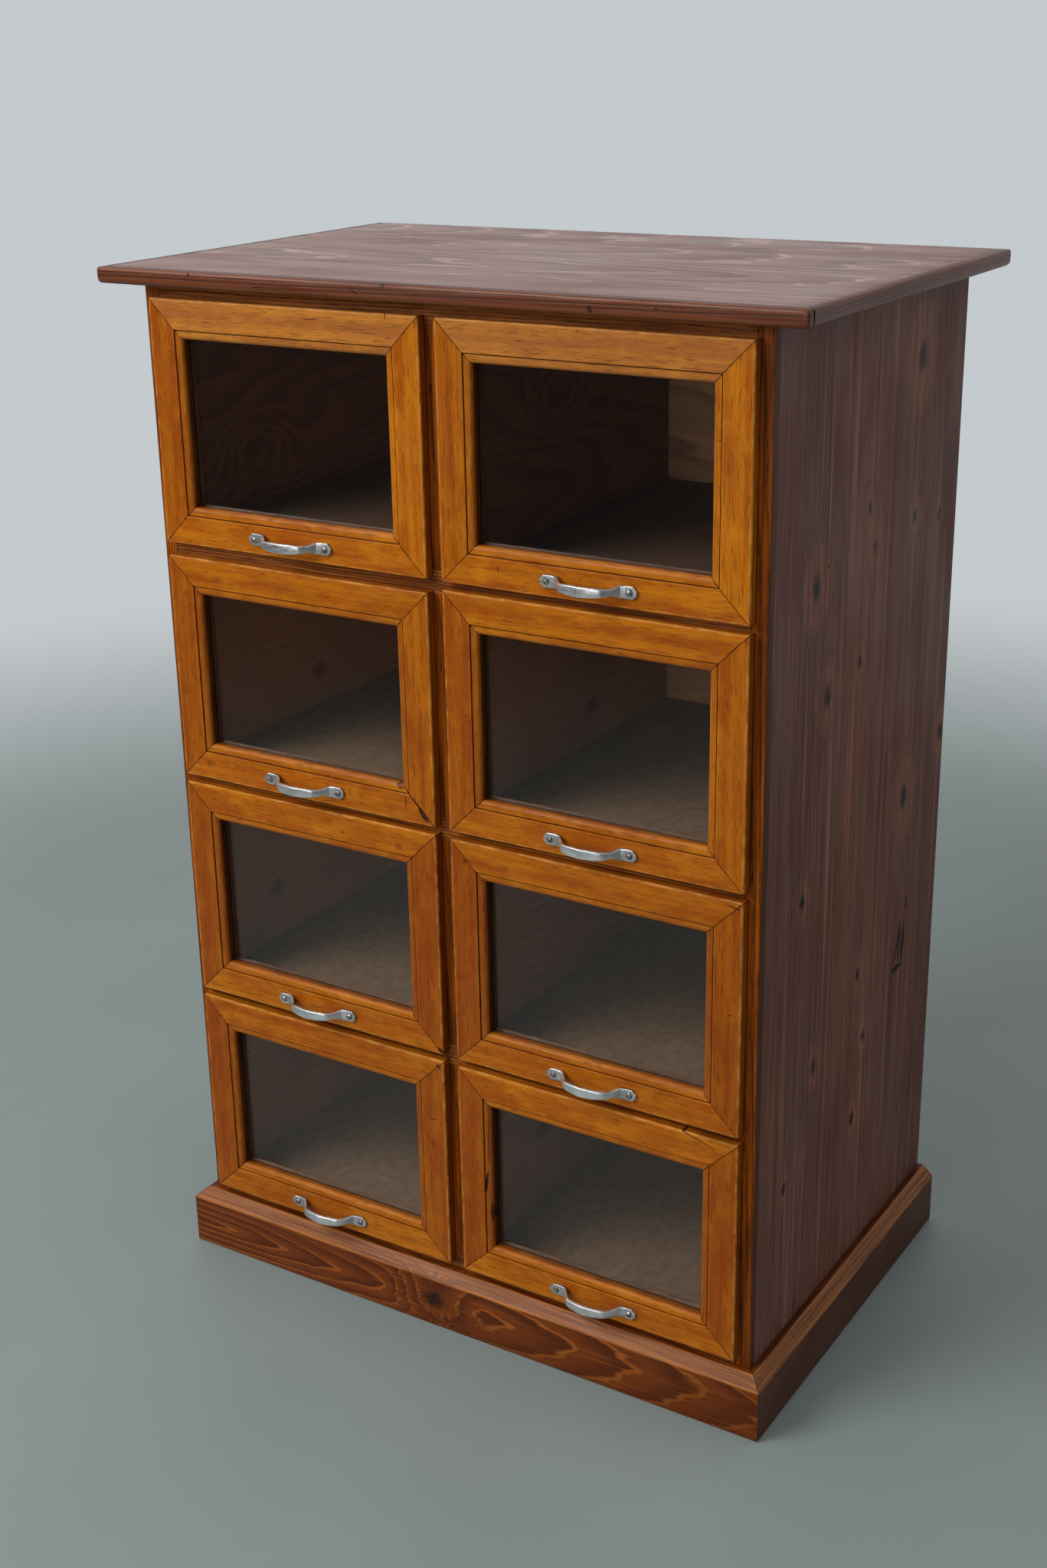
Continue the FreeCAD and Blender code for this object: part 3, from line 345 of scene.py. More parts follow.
for node, spots in SIDE_KNOTS.items():
    stain = Finish("side_stain_" + node.removeprefix("side_"), gloss=0.46, sheen=0.12)
    _, y, z = stain.parts(stain.object_place())
    (red, green, blue), joint = staves(stain, y, SIDE_JOINTS)
    flat = stain.whole(z, y, 0.0)
    inside, swell = knots(stain, flat, spots)
    upright = stain.sum("MULTIPLY_ADD", green, 3.0, z)  # each stave was cut from its own place in the tree
    sideways = stain.sum("ADD", y, stain.sum("MULTIPLY_ADD", red, 0.30, -0.15))
    late = growth(stain, stain.whole(upright, sideways, blue), ring=0.0052, pith=0.012, tilt=0.022,
                  wander=0.030, bulge=swell)
    fibre = stain.cloud(flat, (9, 700, 1), detail=3, rough=0.6)
    streak = stain.cloud(stain.whole(upright, y, 0.0), (2.2, 120, 1))
    blotch = stain.cloud(flat, (5, 12, 1), detail=3)
    fleck = stain.cloud(flat, (36, 380, 1))
    grime_and_shade = stain.cloud(flat, (14, 60, 1), detail=3)
    gash = torn(stain, flat, SIDE_MARKS[node])
    stain.colour = stain.mix(stain.times(late, 0.8), chip(146, 92, 72), chip(90, 52, 44))
    stain.coat(stain.span(z, 0.1, 0.9, 0.60, 0.0), chip(150, 112, 104))  # paler towards the floor
    stain.coat(stain.span(fibre, 0.35, 0.70, 0.75, 0.0), chip(70, 40, 34))
    stain.coat(stain.span(blotch, 0.35, 0.75, 0.0, 0.35), chip(88, 56, 50))
    stain.coat(stain.times(green, 0.45), chip(156, 92, 62))
    stain.coat(stain.times(red, 0.40), chip(90, 58, 52))
    stain.coat(stain.span(streak, 0.55, 0.72, 0.0, 0.60), chip(180, 114, 82))
    stain.coat(stain.span(y, 0.0, 0.25, 0.0, 0.30), chip(84, 44, 26))  # browner towards the back
    stain.coat(stain.span(streak, 0.32, 0.46, 0.42, 0.0), chip(58, 36, 30))
    stain.coat(stain.span(fleck, 0.64, 0.74, 0.0, 0.65), chip(44, 26, 22))
    flame = stain.times(stain.span(swell, 0.003, 0.012, 0.0, 0.45), stain.span(fibre, 0.4, 0.6))
    stain.coat(flame, chip(176, 112, 80))
    stain.coat(stain.times(inside, stain.span(grime_and_shade, 0.30, 0.55, 0.45, 1.0)), chip(26, 14, 14))
    stain.coat(stain.times(joint, 0.85), chip(34, 20, 18))
    stain.coat(gash, chip(20, 10, 9))
    stain.wear(Base_Color=stain.colour, Roughness=stain.span(blotch, 0.3, 0.7, 0.40, 0.54))
    stain.relief(0.00012, (late, 0.35), (fibre, 0.5), (joint, -0.8), (gash, -4.0))
    dress(node, stain)

# Inside of the carcass: back panel, bottom board, partition, runners and blocks of bare softwood gone
# brown with age, housed and glued where they don't show.  Each board's grain follows its length.

AGED, AGED_LATE, DAMP = chip(150, 112, 76), chip(112, 76, 46), chip(84, 56, 33)


def bare_pine(name, turn, knotted=()):
    """Unfinished pine.  The turn says which of the object's axes run along, across and into the board."""
    finish = Finish(name, gloss=0.68)
    parts = finish.parts(finish.object_place())
    place = finish.whole(*(parts["xyz".index(axis)] for axis in turn))
    inside, swell = knots(finish, place, knotted)
    late = growth(finish, place, ring=0.0060, pith=0.020, tilt=0.03, wander=0.05, bulge=swell)
    fibre = finish.cloud(place, (10, 600, 600), detail=3)
    stain = finish.cloud(place, (4, 9, 9), detail=4)
    finish.colour = finish.mix(finish.times(late, 0.75), AGED, AGED_LATE)
    finish.coat(finish.span(fibre, 0.4, 0.7, 0.25, 0.0), AGED_LATE)
    finish.coat(finish.span(stain, 0.45, 0.75, 0.0, 0.5), DAMP)
    finish.coat(finish.times(inside, 0.8), chip(62, 36, 22))
    finish.wear(Base_Color=finish.colour)
    finish.relief(0.00015, (late, 1.0), (fibre, 0.6))
    return finish


dress("back_panel", bare_pine("back_pine", "zxy", [(800, 150, 12), (420, -210, 14)]))
dress("bottom_board", bare_pine("bottom_pine", "xyz"))
dress("centre_partition", bare_pine("partition_pine", "zyx", [(700, 50, 11)]))
dress("drawer_runners", bare_pine("runner_pine", "yzx"))
dress("blocks_and_cleats", bare_pine("block_pine", "xyz"))

# Face frame: oak, let flush between full-height stiles that lip the side panels.  The stiles are made
# again here with their arrises eased; the rails keep their shape.

NEAR = 1.6  # wear, dirt and painted shade die out this far from a corner, in millimetres
LONG = 5.0  # a flat longer than this is divided


def profile(corners, step=7.0):
    """A board's section.  Each corner is (across, depth, radius, wear, dirt and painted shade) in
    millimetres.

    Rounded corners come out as short arcs, and long flats are divided, so that wear can shape them.
    """
    count = len(corners)
    arcs = []
    for number, (across, depth, radius, wear, dirt_and_shade) in enumerate(corners):
        here = Vector((across, depth))
        back = (Vector(corners[number - 1][:2]) - here).normalized()
        ahead = (Vector(corners[(number + 1) % count][:2]) - here).normalized()
        if radius == 0:
            arcs.append([(here, wear, dirt_and_shade)])
            continue
        half = back.angle(ahead) / 2
        middle = here + (back + ahead).normalized() * (radius / math.sin(half))
        reach = radius / math.tan(half)
        first, last = here + back * reach - middle, here + ahead * reach - middle
        steps = 4 if radius > 1 else 2
        rays = [first.lerp(last, index / steps).normalized() for index in range(steps + 1)]
        arcs.append([(middle + ray * radius, wear, dirt_and_shade) for ray in rays])
    points = []
    for number, arc in enumerate(arcs):
        points += arc
        start, stop = arc[-1][0], arcs[(number + 1) % count][0][0]
        run = (stop - start).length
        if run > LONG:
            inner = int((run - 2 * NEAR) / step) + 1
            cuts = [NEAR + (run - 2 * NEAR) * part / inner for part in range(inner + 1)]
            points += [(start.lerp(stop, cut / run), 0.0, 0.0) for cut in cuts]
    return [(point.x * MM, point.y * MM, wear, dirt_and_shade) for point, wear, dirt_and_shade in points]


def skin(mesh, rings):
    """Join rings of points into a tube closed at both ends, its faces outwards."""
    faces = []
    for first, second in zip(rings, rings[1:]):
        for number in range(len(first)):
            after = (number + 1) % len(first)
            faces.append(mesh.faces.new((first[number], first[after], second[after], second[number])))
    faces.append(mesh.faces.new(list(reversed(rings[0]))))
    faces.append(mesh.faces.new(rings[-1]))
    bmesh.ops.recalc_face_normals(mesh, faces=faces)


def smooth(data, crease):
    """Round the shading, except over bends sharper than the crease, in degrees."""
    data.shade_smooth()
    data.set_sharp_from_angle(angle=math.radians(crease))


def plain_mesh(name, mesh, finish, crease):
    data = bpy.data.meshes.new(name)
    mesh.to_mesh(data)
    mesh.free()
    data.materials.append(finish.surface)
    smooth(data, crease)
    return data


def fit(made, body, node):
    """Fix a new piece to its body, in the place of the plain one."""
    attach(made, body)
    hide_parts(node)


def quarter(count=4):
    """Shifts and insets that draw the end of a board in like the quarter of a circle."""
    angles = [number * math.pi / 2 / count for number in range(count)]
    return [(1 - math.cos(angle), 1 - math.sin(angle)) for angle in angles]


DENTS, SWAYS = 55, 9  # how often in a metre a worn arris is dented, and how often it slowly sways


class Joinery:
    """A wooden piece in the making.  Every point remembers where it lay in its board, how worn it is, how
    much dirt and painted shade it carries, how far it is from the nearest mitre, and how dark its board is."""

    def __init__(self):
        self.mesh = bmesh.new()
        self.grain = self.mesh.verts.layers.float_vector.new("grain")
        self.spots = [self.mesh.verts.layers.float.new(name) for name in ("worn", "dirt_and_shade", "mitre", "tone")]

    def board(self, section, low, high, put, log, stations=24, low_round=0.0, high_round=0.0, mitres="",
              shape=None, hollow=0.00025, seed=0, tone=0.0):
        """Carry a section from low to high, each a length or a rule for a mitre, and close both ends.

        put turns (along, across, depth) into a place, log says where in the tree the board was cut, and
        a worn arris is hollowed at random by up to the given depth.
        """
        count = len(section)
        normals, turning = [], 0.0
        for number, here in enumerate(section):
            before, after = section[number - 1], section[(number + 1) % count]
            edge = Vector((after[0] - before[0], after[1] - before[1])).normalized()
            normals.append(Vector((edge.y, -edge.x)))
            turning += before[0] * here[1] - here[0] * before[1]
        if turning < 0:
            normals = [-normal for normal in normals]
        first = [(0.0, low_round * shift, low_round * inset) for shift, inset in quarter()] \
            if low_round else [(0.0, 0.0, 0.0)]
        last = [(1.0, -high_round * shift, high_round * inset) for shift, inset in reversed(quarter())] \
            if high_round else [(1.0, 0.0, 0.0)]
        between = [(number / stations, 0.0, 0.0) for number in range(1, stations)]
        rings = []
        for share, shift, inset in first + between + last:
            ring = []
            for (across, depth, worn, dirt_and_shade), normal in zip(section, normals):
                start, stop = (end(across, depth) if callable(end) else end for end in (low, high))
                along = start + (stop - start) * share + shift
                dents = noise.noise(Vector((along * DENTS, seed * 7.3, across * 40 + depth * 60)))
                sway = noise.noise(Vector((along * SWAYS, seed * 3.1 + 40, 0)))
                bite = worn * hollow * max(0.0, 0.35 + dents + 0.6 * sway)
                edge = Vector((across, depth)) - normal * (bite + inset)
                if shape:
                    edge = Vector(shape(along, across, depth, edge.x, edge.y))
                vert = self.mesh.verts.new(put(along, edge.x, edge.y))
                vert[self.grain] = Vector((along + log[0], edge.x + log[1], edge.y + log[2]))
                mitre = min(abs(along - start) if "low" in mitres else 1.0,
                            abs(along - stop) if "high" in mitres else 1.0)
                for spot, amount in zip(self.spots, (worn, dirt_and_shade, mitre, tone)):
                    vert[spot] = amount
                ring.append(vert)
            rings.append(ring)
        skin(self.mesh, rings)

    def piece(self, name, finish, body, node):
        fit(stand(name, plain_mesh(name, self.mesh, finish, crease=34)), body, node)


def in_the_board(finish):
    return finish.add("Attribute", {}, out="Vector", attribute_name="grain")


def level_rail(finish):
    x, y, z = finish.parts(finish.object_place())
    return finish.whole(x, z, y)


def oak(name, place_of, early):
    """Oiled oak: brown rings and rows of open pores, with dirt and painted shade at joints and handled edges.
    """
    finish = Finish(name, gloss=0.45, sheen=0.12)
    place = place_of(finish)
    late = growth(finish, place, ring=0.0036, pith=0.020, tilt=0.016, wander=0.016)
    pore = finish.span(finish.cloud(place, (45, 900, 900), rough=0.6), 0.54, 0.64)
    pore = finish.times(pore, finish.span(late, 0.25, 0.75, 0.25, 1.0))
    dark = finish.cloud(place, (5, 60, 60), detail=3)
    fine = finish.cloud(place, (9, 420, 420), detail=3, rough=0.6)
    finish.colour = finish.mix(finish.times(late, 0.60), early, chip(88, 40, 6))
    finish.coat(finish.span(dark, 0.40, 0.65, 0.0, 0.50), chip(84, 38, 6))
    finish.coat(finish.span(fine, 0.36, 0.56, 0.60, 0.0), chip(54, 24, 6))
    finish.coat(finish.times(pore, 0.9), chip(34, 16, 6))
    # On the stiles: dirt and painted shade at their arrises and outer side faces.
    if place_of is in_the_board:
        finish.coat(finish.spot("dirt_and_shade"), chip(62, 38, 24))
    finish.wear(Base_Color=finish.colour)
    finish.relief(0.0002, (late, 0.3), (pore, -1.0))
    return finish


(_, STILE_FRONT, _), (CARCASS_HALF, _, CARCASS_TOP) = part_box("face_frame_stiles")
CENTRE_HALF = 0.014
ROWS = ("bottom", "lower", "upper", "top")
BAY_FLOORS = [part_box(f"drawer_box_{row}_left")[0].z for row in ROWS]
BAY_HEIGHT = 0.256
# The stiles' arrises and outer side faces carry dirt and painted shade beside the drawer fronts and sides.
stile_section = profile([(0, 0, 0.9, 0.4, 0.6), (19, 0, 0.5, 0.2, 0.9), (19, 10, 0, 0, 0), (0, 10, 0, 0, 0.9),
                         (0, 6.5, 0, 0, 0.8), (0, 3.0, 0, 0, 0.8)])
centre_section = profile([(0, 0, 0.6, 0.3, 0.5), (28, 0, 0.6, 0.3, 0.5), (28, 10, 0, 0, 0), (0, 10, 0, 0, 0)])

stiles = Joinery()
for hand in (-1, 1):
    stiles.board(stile_section, 0.0, CARCASS_TOP,
                 lambda along, across, depth: Vector(
                     (hand * (CARCASS_HALF - across), STILE_FRONT + depth, along)),
                 log=(hand * 0.9, -0.03 * hand, 0.0), stations=60, seed=hand)
for number, bay_floor in enumerate(BAY_FLOORS):
    stiles.board(centre_section, bay_floor, bay_floor + BAY_HEIGHT,
                 lambda along, across, depth: Vector((across - CENTRE_HALF, STILE_FRONT + depth, along)),
                 log=(number * 2.3, number * 0.017, 0.02), stations=14, seed=number + 5)
stiles.piece("face_stiles", oak("oak_upright", in_the_board, chip(174, 86, 8)), "carcass",
             "face_frame_stiles")
dress("face_frame_rails", oak("oak_level", level_rail, chip(170, 98, 42)))

# Plinth: three stained pine boards, mitred at the front corners and fixed round the carcass.  Their
# upper edge is chamfered by hand, so the chamfer wanders and the plane has left its ripple.


def waxed_pine(name, soft, hard, edge, pale, gloss, sheen, knotted=(), fine=450, figure=0.55, lined=0.95,
               marks=(), **rings):
    """Stained and waxed pine: soft and hard wood, the fine light edge of each year, and the pale tone of
    rubbed arrises, each with a colour of its own."""
    finish = Finish(name, gloss=gloss, sheen=sheen)
    place = in_the_board(finish)
    inside, swell = knots(finish, place, knotted)
    year = years(finish, place, bulge=swell, **rings)
    late = band(finish, year, 0.15, 0.70, 0.90, 1.0)
    line = band(finish, year, 0.78, 0.90, 0.93, 1.0)
    fibre = finish.cloud(place, (7, fine, fine), detail=3, rough=0.6)
    blotch = finish.cloud(place, (4, 14, 14), detail=4)
    finish.colour = finish.mix(late, soft, hard)
    finish.coat(finish.span(fibre, 0.32, 0.60, figure, 0.0), hard)
    finish.coat(finish.span(fibre, 0.56, 0.70, 0.0, figure), edge)
    finish.coat(finish.span(blotch, 0.45, 0.80, 0.0, 0.50), hard)
    finish.coat(finish.times(line, finish.span(blotch, 0.35, 0.70, lined, 0.4 * lined)), edge)
    finish.coat(finish.times(inside, 0.85), chip(34, 14, 8))
    finish.coat(finish.spot("tone"), chip(58, 28, 16))
    finish.coat(finish.times(finish.spot("worn"), finish.span(fibre, 0.30, 0.60, 0.1, 0.8)), pale)
    open_mitre = finish.span(finish.spot("mitre"), 0.0003, 0.0010, 0.9, 0.0)
    finish.coat(finish.sum("MAXIMUM", finish.spot("dirt_and_shade"), open_mitre), chip(22, 12, 8))
    forms = [(line, 0.6), (fibre, 0.5)]
    if marks:
        x, _, z = finish.parts(finish.object_place())
        gash = torn(finish, finish.whole(x, z, 0.0), marks)
        finish.coat(gash, chip(18, 8, 6))
        forms.append((gash, -4.0))
    finish.wear(Base_Color=finish.colour,
                Roughness=finish.span(blotch, 0.3, 0.75, gloss - 0.05, gloss + 0.12))
    finish.relief(0.00016, *forms)
    return finish


(_, PLINTH_FRONT, _), (PLINTH_SIDE, CARCASS_BACK, PLINTH_TOP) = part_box("plinth_boards")
PLINTH_HIGH, PLINTH_THICK, CHAMFER = PLINTH_TOP / MM, 21.0, 12.5
CHAMFER_FOOT = PLINTH_HIGH - CHAMFER
WANDER = 0.0016  # how far the chamfer's foot strays from its line
RIPPLE, UNEVEN, STROKES = 0.00014, 0.0002, 520  # the plane's ripple: its depth, its unevenness, its pace
SLOPE = 0.7  # a dip in the chamfer goes this share of its depth inwards and the same down


def plinth_section(rubbed):
    """Foot, face and chamfer, of which the chamfer is rubbed pale by the given share."""
    slope = [(CHAMFER_FOOT + across, across, 0, rubbed, 0) for across in (3.1, 6.3, 9.5)]
    return profile([(0, 0, 1.2, 0.5, 0.6), (CHAMFER_FOOT, 0, 1.6, 0.7, 0), *slope,
                    (PLINTH_HIGH, CHAMFER, 1.0, 0.7, 0), (PLINTH_HIGH, PLINTH_THICK, 0, 0, 0),
                    (0, PLINTH_THICK, 0, 0, 0)], step=5.0)


def planed_by_hand(start):
    """The chamfer's foot wanders a little and its face ripples."""
    def shape(along, across, depth, new_across, new_depth):
        on_foot = max(0.0, 1 - abs(across - CHAMFER_FOOT * MM) / 0.004) if depth < 0.003 else 0.0
        on_face = 1.0 if across > (CHAMFER_FOOT + 0.5) * MM and depth < (CHAMFER + 1.0) * MM else 0.0
        sway = noise.noise(Vector((along * 11 + start, 3.1, 0)))
        sway += 0.5 * noise.noise(Vector((along * 31, start, 8)))
        ripple = RIPPLE * math.sin(along * STROKES + 2 * sway) + UNEVEN * sway
        dip = SLOPE * ripple * on_face
        return new_across - WANDER * on_foot * sway - dip, new_depth + dip + 0.0001 * on_foot
    return shape


plinth = Joinery()
plinth.board(plinth_section(rubbed=0.40), lambda across, depth: -PLINTH_SIDE + depth,
             lambda across, depth: PLINTH_SIDE - depth,
             lambda along, across, depth: Vector((along, PLINTH_FRONT + depth, across)),
             log=(0.0, -0.034, 0.0), stations=150, mitres="low high", shape=planed_by_hand(0.4),
             hollow=0.0004, seed=21)
for hand in (-1, 1):
    plinth.board(plinth_section(rubbed=0.50), lambda across, depth: PLINTH_FRONT + depth, CARCASS_BACK,
                 lambda along, across, depth: Vector((hand * (PLINTH_SIDE - depth), along, across)),
                 log=(0.02 * hand, 0.050, 0.01), stations=100, mitres="low", shape=planed_by_hand(7.0 + hand),
                 hollow=0.0004, seed=23 + hand, tone=0.66)
plinth_wax = waxed_pine("plinth_wax", soft=chip(120, 56, 12), hard=chip(86, 36, 6), edge=chip(168, 92, 30),
                        pale=chip(204, 128, 60), gloss=0.36, sheen=0.17, knotted=[(-32, 4, 11)],
                        lined=0.90, ring=0.0086, pith=0.040, tilt=0.100, wander=0.012, ripple=0.004)
plinth.piece("plinth_dressed", plinth_wax, "carcass", "plinth_boards")

# Top: four glued-up boards with a lipping along the front that hides their long edge, and a narrow
# strip along each end.  Rounded above and below, stained like the sides, and dented along the front.

(_, TOP_FRONT, _), (TOP_END, TOP_REAR, TOP_OVER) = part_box("top_lippings")
(_, TOP_SEAM_FRONT, _), (TOP_SEAM, _, _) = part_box("top_panel")
THICK = 18.0
SEAM, TIGHT = 0.8, 0.25  # how the boards are eased where they meet the lipping, and one another
# each board's width, and how far over it the heart of its tree lies
TOP_BOARDS = [(128.0, 0.62), (141.0, 0.35), (117.0, 0.75), (137.0, 0.45)]

top = Joinery()
start = TOP_SEAM_FRONT
for number, (width, heart) in enumerate(TOP_BOARDS):
    rear = number == len(TOP_BOARDS) - 1
    section = profile([(0, 0, TIGHT if number else SEAM, 0, 0.7), (width, 0, 3.0 if rear else TIGHT, 0, 0.7),
                       (width, THICK, 4.0 if rear else 0, 0, 0), (0, THICK, 0, 0, 0)], step=20.0)
    top.board(section, -TOP_SEAM, TOP_SEAM,
              lambda along, across, depth: Vector((along, start + across, TOP_OVER - depth)),
              log=(1.7 * number + 0.2, -width * MM * heart, 0.004 * number),
              stations=30, low_round=SEAM * MM, high_round=SEAM * MM, seed=31 + number)
    start += width * MM
top_stain = waxed_pine("top_stain", soft=chip(158, 111, 96), hard=chip(128, 86, 76), edge=chip(212, 172, 160),
                       pale=chip(126, 80, 58), gloss=0.32, sheen=0.52, fine=200, figure=0.24, lined=0.85,
                       ring=0.0095, pith=0.006, tilt=0.060, wander=0.050, ripple=0.006)
top.piece("top_boards", top_stain, "carcass", "top_panel")

LIP_MARKS = [(-293, 1235, 1.6, 3, 0, 1.0), (-40, 1236, 2.2, 2, 0, 1.0),
             (-75, 1228, 6, 0.8, -30, 0.9), (199, 1226, 3, 4, 30, 0.8),
             (270, 1230, 2, 1.6, 0, 0.8), (-200, 1226.5, 10, 0.6, 4, 0.7)]


def lip_section(width, under):
    """A lipping's section, the arris under it worn by the given share."""
    return profile([(0, 0, 3.0, 0.5, 0), (width, 0, SEAM, 0, 1.0), (width, THICK, 0, 0, 0),
                    (0, THICK, 6.0, under, 0)])


lip = Joinery()
lip.board(lip_section(13, 0.5), -TOP_END, TOP_END,
          lambda along, across, depth: Vector((along, TOP_FRONT + across, TOP_OVER - depth)),
          log=(0.4, 0.02, 0.0), stations=160, low_round=0.003, high_round=0.003, hollow=0.0005, seed=41)
for hand in (-1, 1):
    lip.board(lip_section(9, 0.3), TOP_SEAM_FRONT, TOP_REAR,
              lambda along, across, depth: Vector((hand * (TOP_END - across), along, TOP_OVER - depth)),
              log=(2.0 + hand, 0.03, 0.01), stations=90, high_round=0.003, hollow=0.0005, seed=43 + hand)
lip_stain = waxed_pine("lipping_stain", soft=chip(112, 54, 26), hard=chip(70, 32, 14), edge=chip(138, 74, 42),
                       pale=chip(146, 82, 50), gloss=0.36, sheen=0.32, figure=0.32, lined=0.5,
                       marks=LIP_MARKS, ring=0.0040, pith=0.030, tilt=0.015, wander=0.012)
lip.piece("top_edge_strips", lip_stain, "carcass", "top_lippings")

# Drawer boxes: bare pine gone brown, grooved for the bottom and housed at the corners.  The grain runs
# along each board, so it turns with the faces, and a knot shows in each side.

PLACES = [(row, column, number, hand) for number, row in enumerate(ROWS)
          for column, hand in (("left", -1), ("right", 1))]
BOX_KNOTS = [-110, 130, 20, -50]  # how far the knot of each row lies from the middle of the side


def box_pine(name, shift, spots, painted_shade):
    """The box's pine, cut from the log at the shift, and darkened as painted shade by the given share."""
    finish = Finish(name, gloss=0.62, sheen=0.3)

    def either(share, no, yes):
        return finish.add("Mix", {0: share, 4: no, 5: yes}, out=1, data_type="VECTOR")

    x, y, z = finish.parts(finish.object_place())
    facing = finish.vector("ABSOLUTE", finish.add("NewGeometry", {}, out="Normal"))
    sideways, _, upward = finish.parts(facing)
    on_side = finish.sum("GREATER_THAN", sideways, 0.5)
    on_flat = finish.sum("GREATER_THAN", upward, 0.5)
    side_place = finish.whole(finish.sum("ADD", y, shift), z, finish.times(x, 0.5))
    back_place = finish.whole(finish.sum("ADD", x, shift * 2.0), z, y)
    flat_place = finish.whole(finish.sum("ADD", y, shift * 3.0), x, z)
    place = either(on_flat, either(on_side, back_place, side_place), flat_place)
    inside, swell = knots(finish, place, spots)
    along, across, depth = finish.parts(place)
    heart = finish.sum("MULTIPLY_ADD", on_flat, -1.0, shift % 1.3)
    centred = finish.whole(along, finish.sum("SUBTRACT", across, heart), depth)
    late = growth(finish, centred, ring=0.0075, pith=0.02, tilt=0.05, wander=0.06, bulge=swell)
    fibre = finish.cloud(place, (8, 500, 500), detail=3)
    dust = finish.cloud(place, (5, 8, 8), detail=4)
    speck = finish.cloud(place, (90, 90, 90), detail=4)
    finish.colour = finish.mix(on_side, chip(152, 108, 70), chip(182, 122, 82))
    # Painted shade for the top row, whose insides get little light: darker sides, grain and bottoms.
    finish.coat(finish.times(on_side, painted_shade), chip(118, 60, 28))
    finish.coat(finish.times(late, 0.14 + 0.50 * painted_shade), chip(76, 38, 18))
    finish.coat(finish.span(fibre, 0.4, 0.7, 0.3, 0.0), chip(96, 56, 32))
    finish.coat(finish.span(dust, 0.4, 0.8, 0.0, 0.3), chip(104, 72, 50))
    finish.coat(finish.times(inside, 0.6), chip(66, 32, 14))
    dusty = finish.mix(finish.span(speck, 0.35, 0.70), chip(114, 90, 70), chip(98, 74, 56))
    finish.coat(finish.times(on_flat, 0.92), finish.mix(painted_shade, dusty, chip(60, 42, 32)))
    finish.wear(Base_Color=finish.colour)
    finish.relief(0.00012, (late, 1.0), (fibre, 0.6))
    return finish


for row, column, number, hand in PLACES:
    shift = 3.1 * (number * 2 + hand)
    knot_height = BAY_FLOORS[number] / MM + 100 + 0.4 * BOX_KNOTS[number - 2]
    knot = (shift / MM + BOX_KNOTS[number] * hand, knot_height, 11)
    if (row, column) == ("top", "left"):
        knot = (shift / MM - 116, 1016, 13)
    # The top row's boxes are painted in shade.
    dress(f"drawer_box_{row}_{column}",
          box_pine(f"box_pine_{row}_{column}", shift, [knot], painted_shade=0.8 if row == "top" else 0.0))

# Drawer fronts: four moulded members of a close-grained brown hardwood, mitred and glued, with a sunk
# strip along the sight edge and a lip that laps the face frame.  Varnished, then worn bright along the
# arrises, where the pale wear is also a painted highlight, dented, and black with old polish in the
# mitres; the step is black with old polish and painted shade, and the wall beside the pane and the
# outer faces of the lip are painted dark as shade.


def varnished(name, marks):
    """Close-grained hardwood under old varnish, from honey to brown by the tone of each member."""
    finish = Finish(name, gloss=0.36, sheen=0.14)
    place = in_the_board(finish)
    x, _, z = finish.parts(finish.object_place())
    gash = torn(finish, finish.whole(x, z, 0.0), marks)
    ribbon = finish.cloud(place, (3.0, 75, 75))
    streak = finish.cloud(place, (7, 260, 260), detail=3, rough=0.6)
    figure = finish.cloud(place, (30, 60, 60), detail=3)
    cloudy = finish.cloud(place, (9, 22, 22), detail=3)
    rub = finish.cloud(place, (60, 200, 200))
    vessel = finish.span(finish.cloud(place, (60, 900, 900), detail=1), 0.58, 0.68)
    scuff = finish.span(finish.cloud(place, (45, 190, 190), detail=4, rough=0.7), 0.66, 0.74)
    holes = finish.add("TexVoronoi", {"Vector": place, "Scale": 34.0, "Randomness": 1.0}, out="Distance")
    pit = finish.span(holes, 0.020, 0.040, 1.0, 0.0)
    finish.colour = finish.mix(finish.span(ribbon, 0.35, 0.65), chip(212, 126, 18), chip(178, 92, 12))
    finish.coat(finish.span(streak, 0.34, 0.62, 0.34, 0.0), chip(150, 70, 6))
    finish.coat(finish.span(figure, 0.40, 0.75, 0.0, 0.45), chip(232, 148, 28))
    finish.coat(finish.span(cloudy, 0.45, 0.80, 0.0, 0.55), chip(150, 66, 6))
    finish.coat(finish.spot("tone"), chip(128, 50, 8))
    finish.coat(finish.span(finish.spot("tone"), -0.5, 0.0, 0.38, 0.0), chip(150, 112, 72))  # the haze
    finish.coat(finish.times(vessel, 0.55), chip(96, 40, 4))
    # Pale bare wood along the worn arrises, also standing in as a painted highlight on them.
    bare_and_highlight = finish.times(finish.spot("worn"), finish.span(rub, 0.40, 0.65, 0.10, 0.60))
    finish.coat(bare_and_highlight, chip(236, 168, 84))
    finish.coat(finish.times(scuff, 0.38), chip(96, 48, 20))
    finish.coat(finish.times(pit, 0.85), chip(44, 20, 8))
    finish.coat(gash, chip(40, 18, 10))
    # Grime in the mitres and the step, and painted shade beside the pane and on the lip's outer faces.
    grime_and_shade = finish.times(finish.spot("dirt_and_shade"), finish.span(cloudy, 0.2, 0.6, 1.0, 0.75))
    seam = finish.times(finish.span(finish.spot("mitre"), 0.0004, 0.0010, 1.0, 0.0),
                        finish.span(rub, 0.35, 0.60, 1.0, 0.55))
    finish.coat(finish.times(finish.sum("MAXIMUM", grime_and_shade, seam), 0.96), chip(24, 9, 4))
    finish.wear(Base_Color=finish.colour, Roughness=finish.span(cloudy, 0.3, 0.75, 0.30, 0.44))
    finish.relief(0.00014, (ribbon, 0.5), (vessel, -0.6), (gash, -4.0), (pit, -2.5), (scuff, -0.5))
    return finish


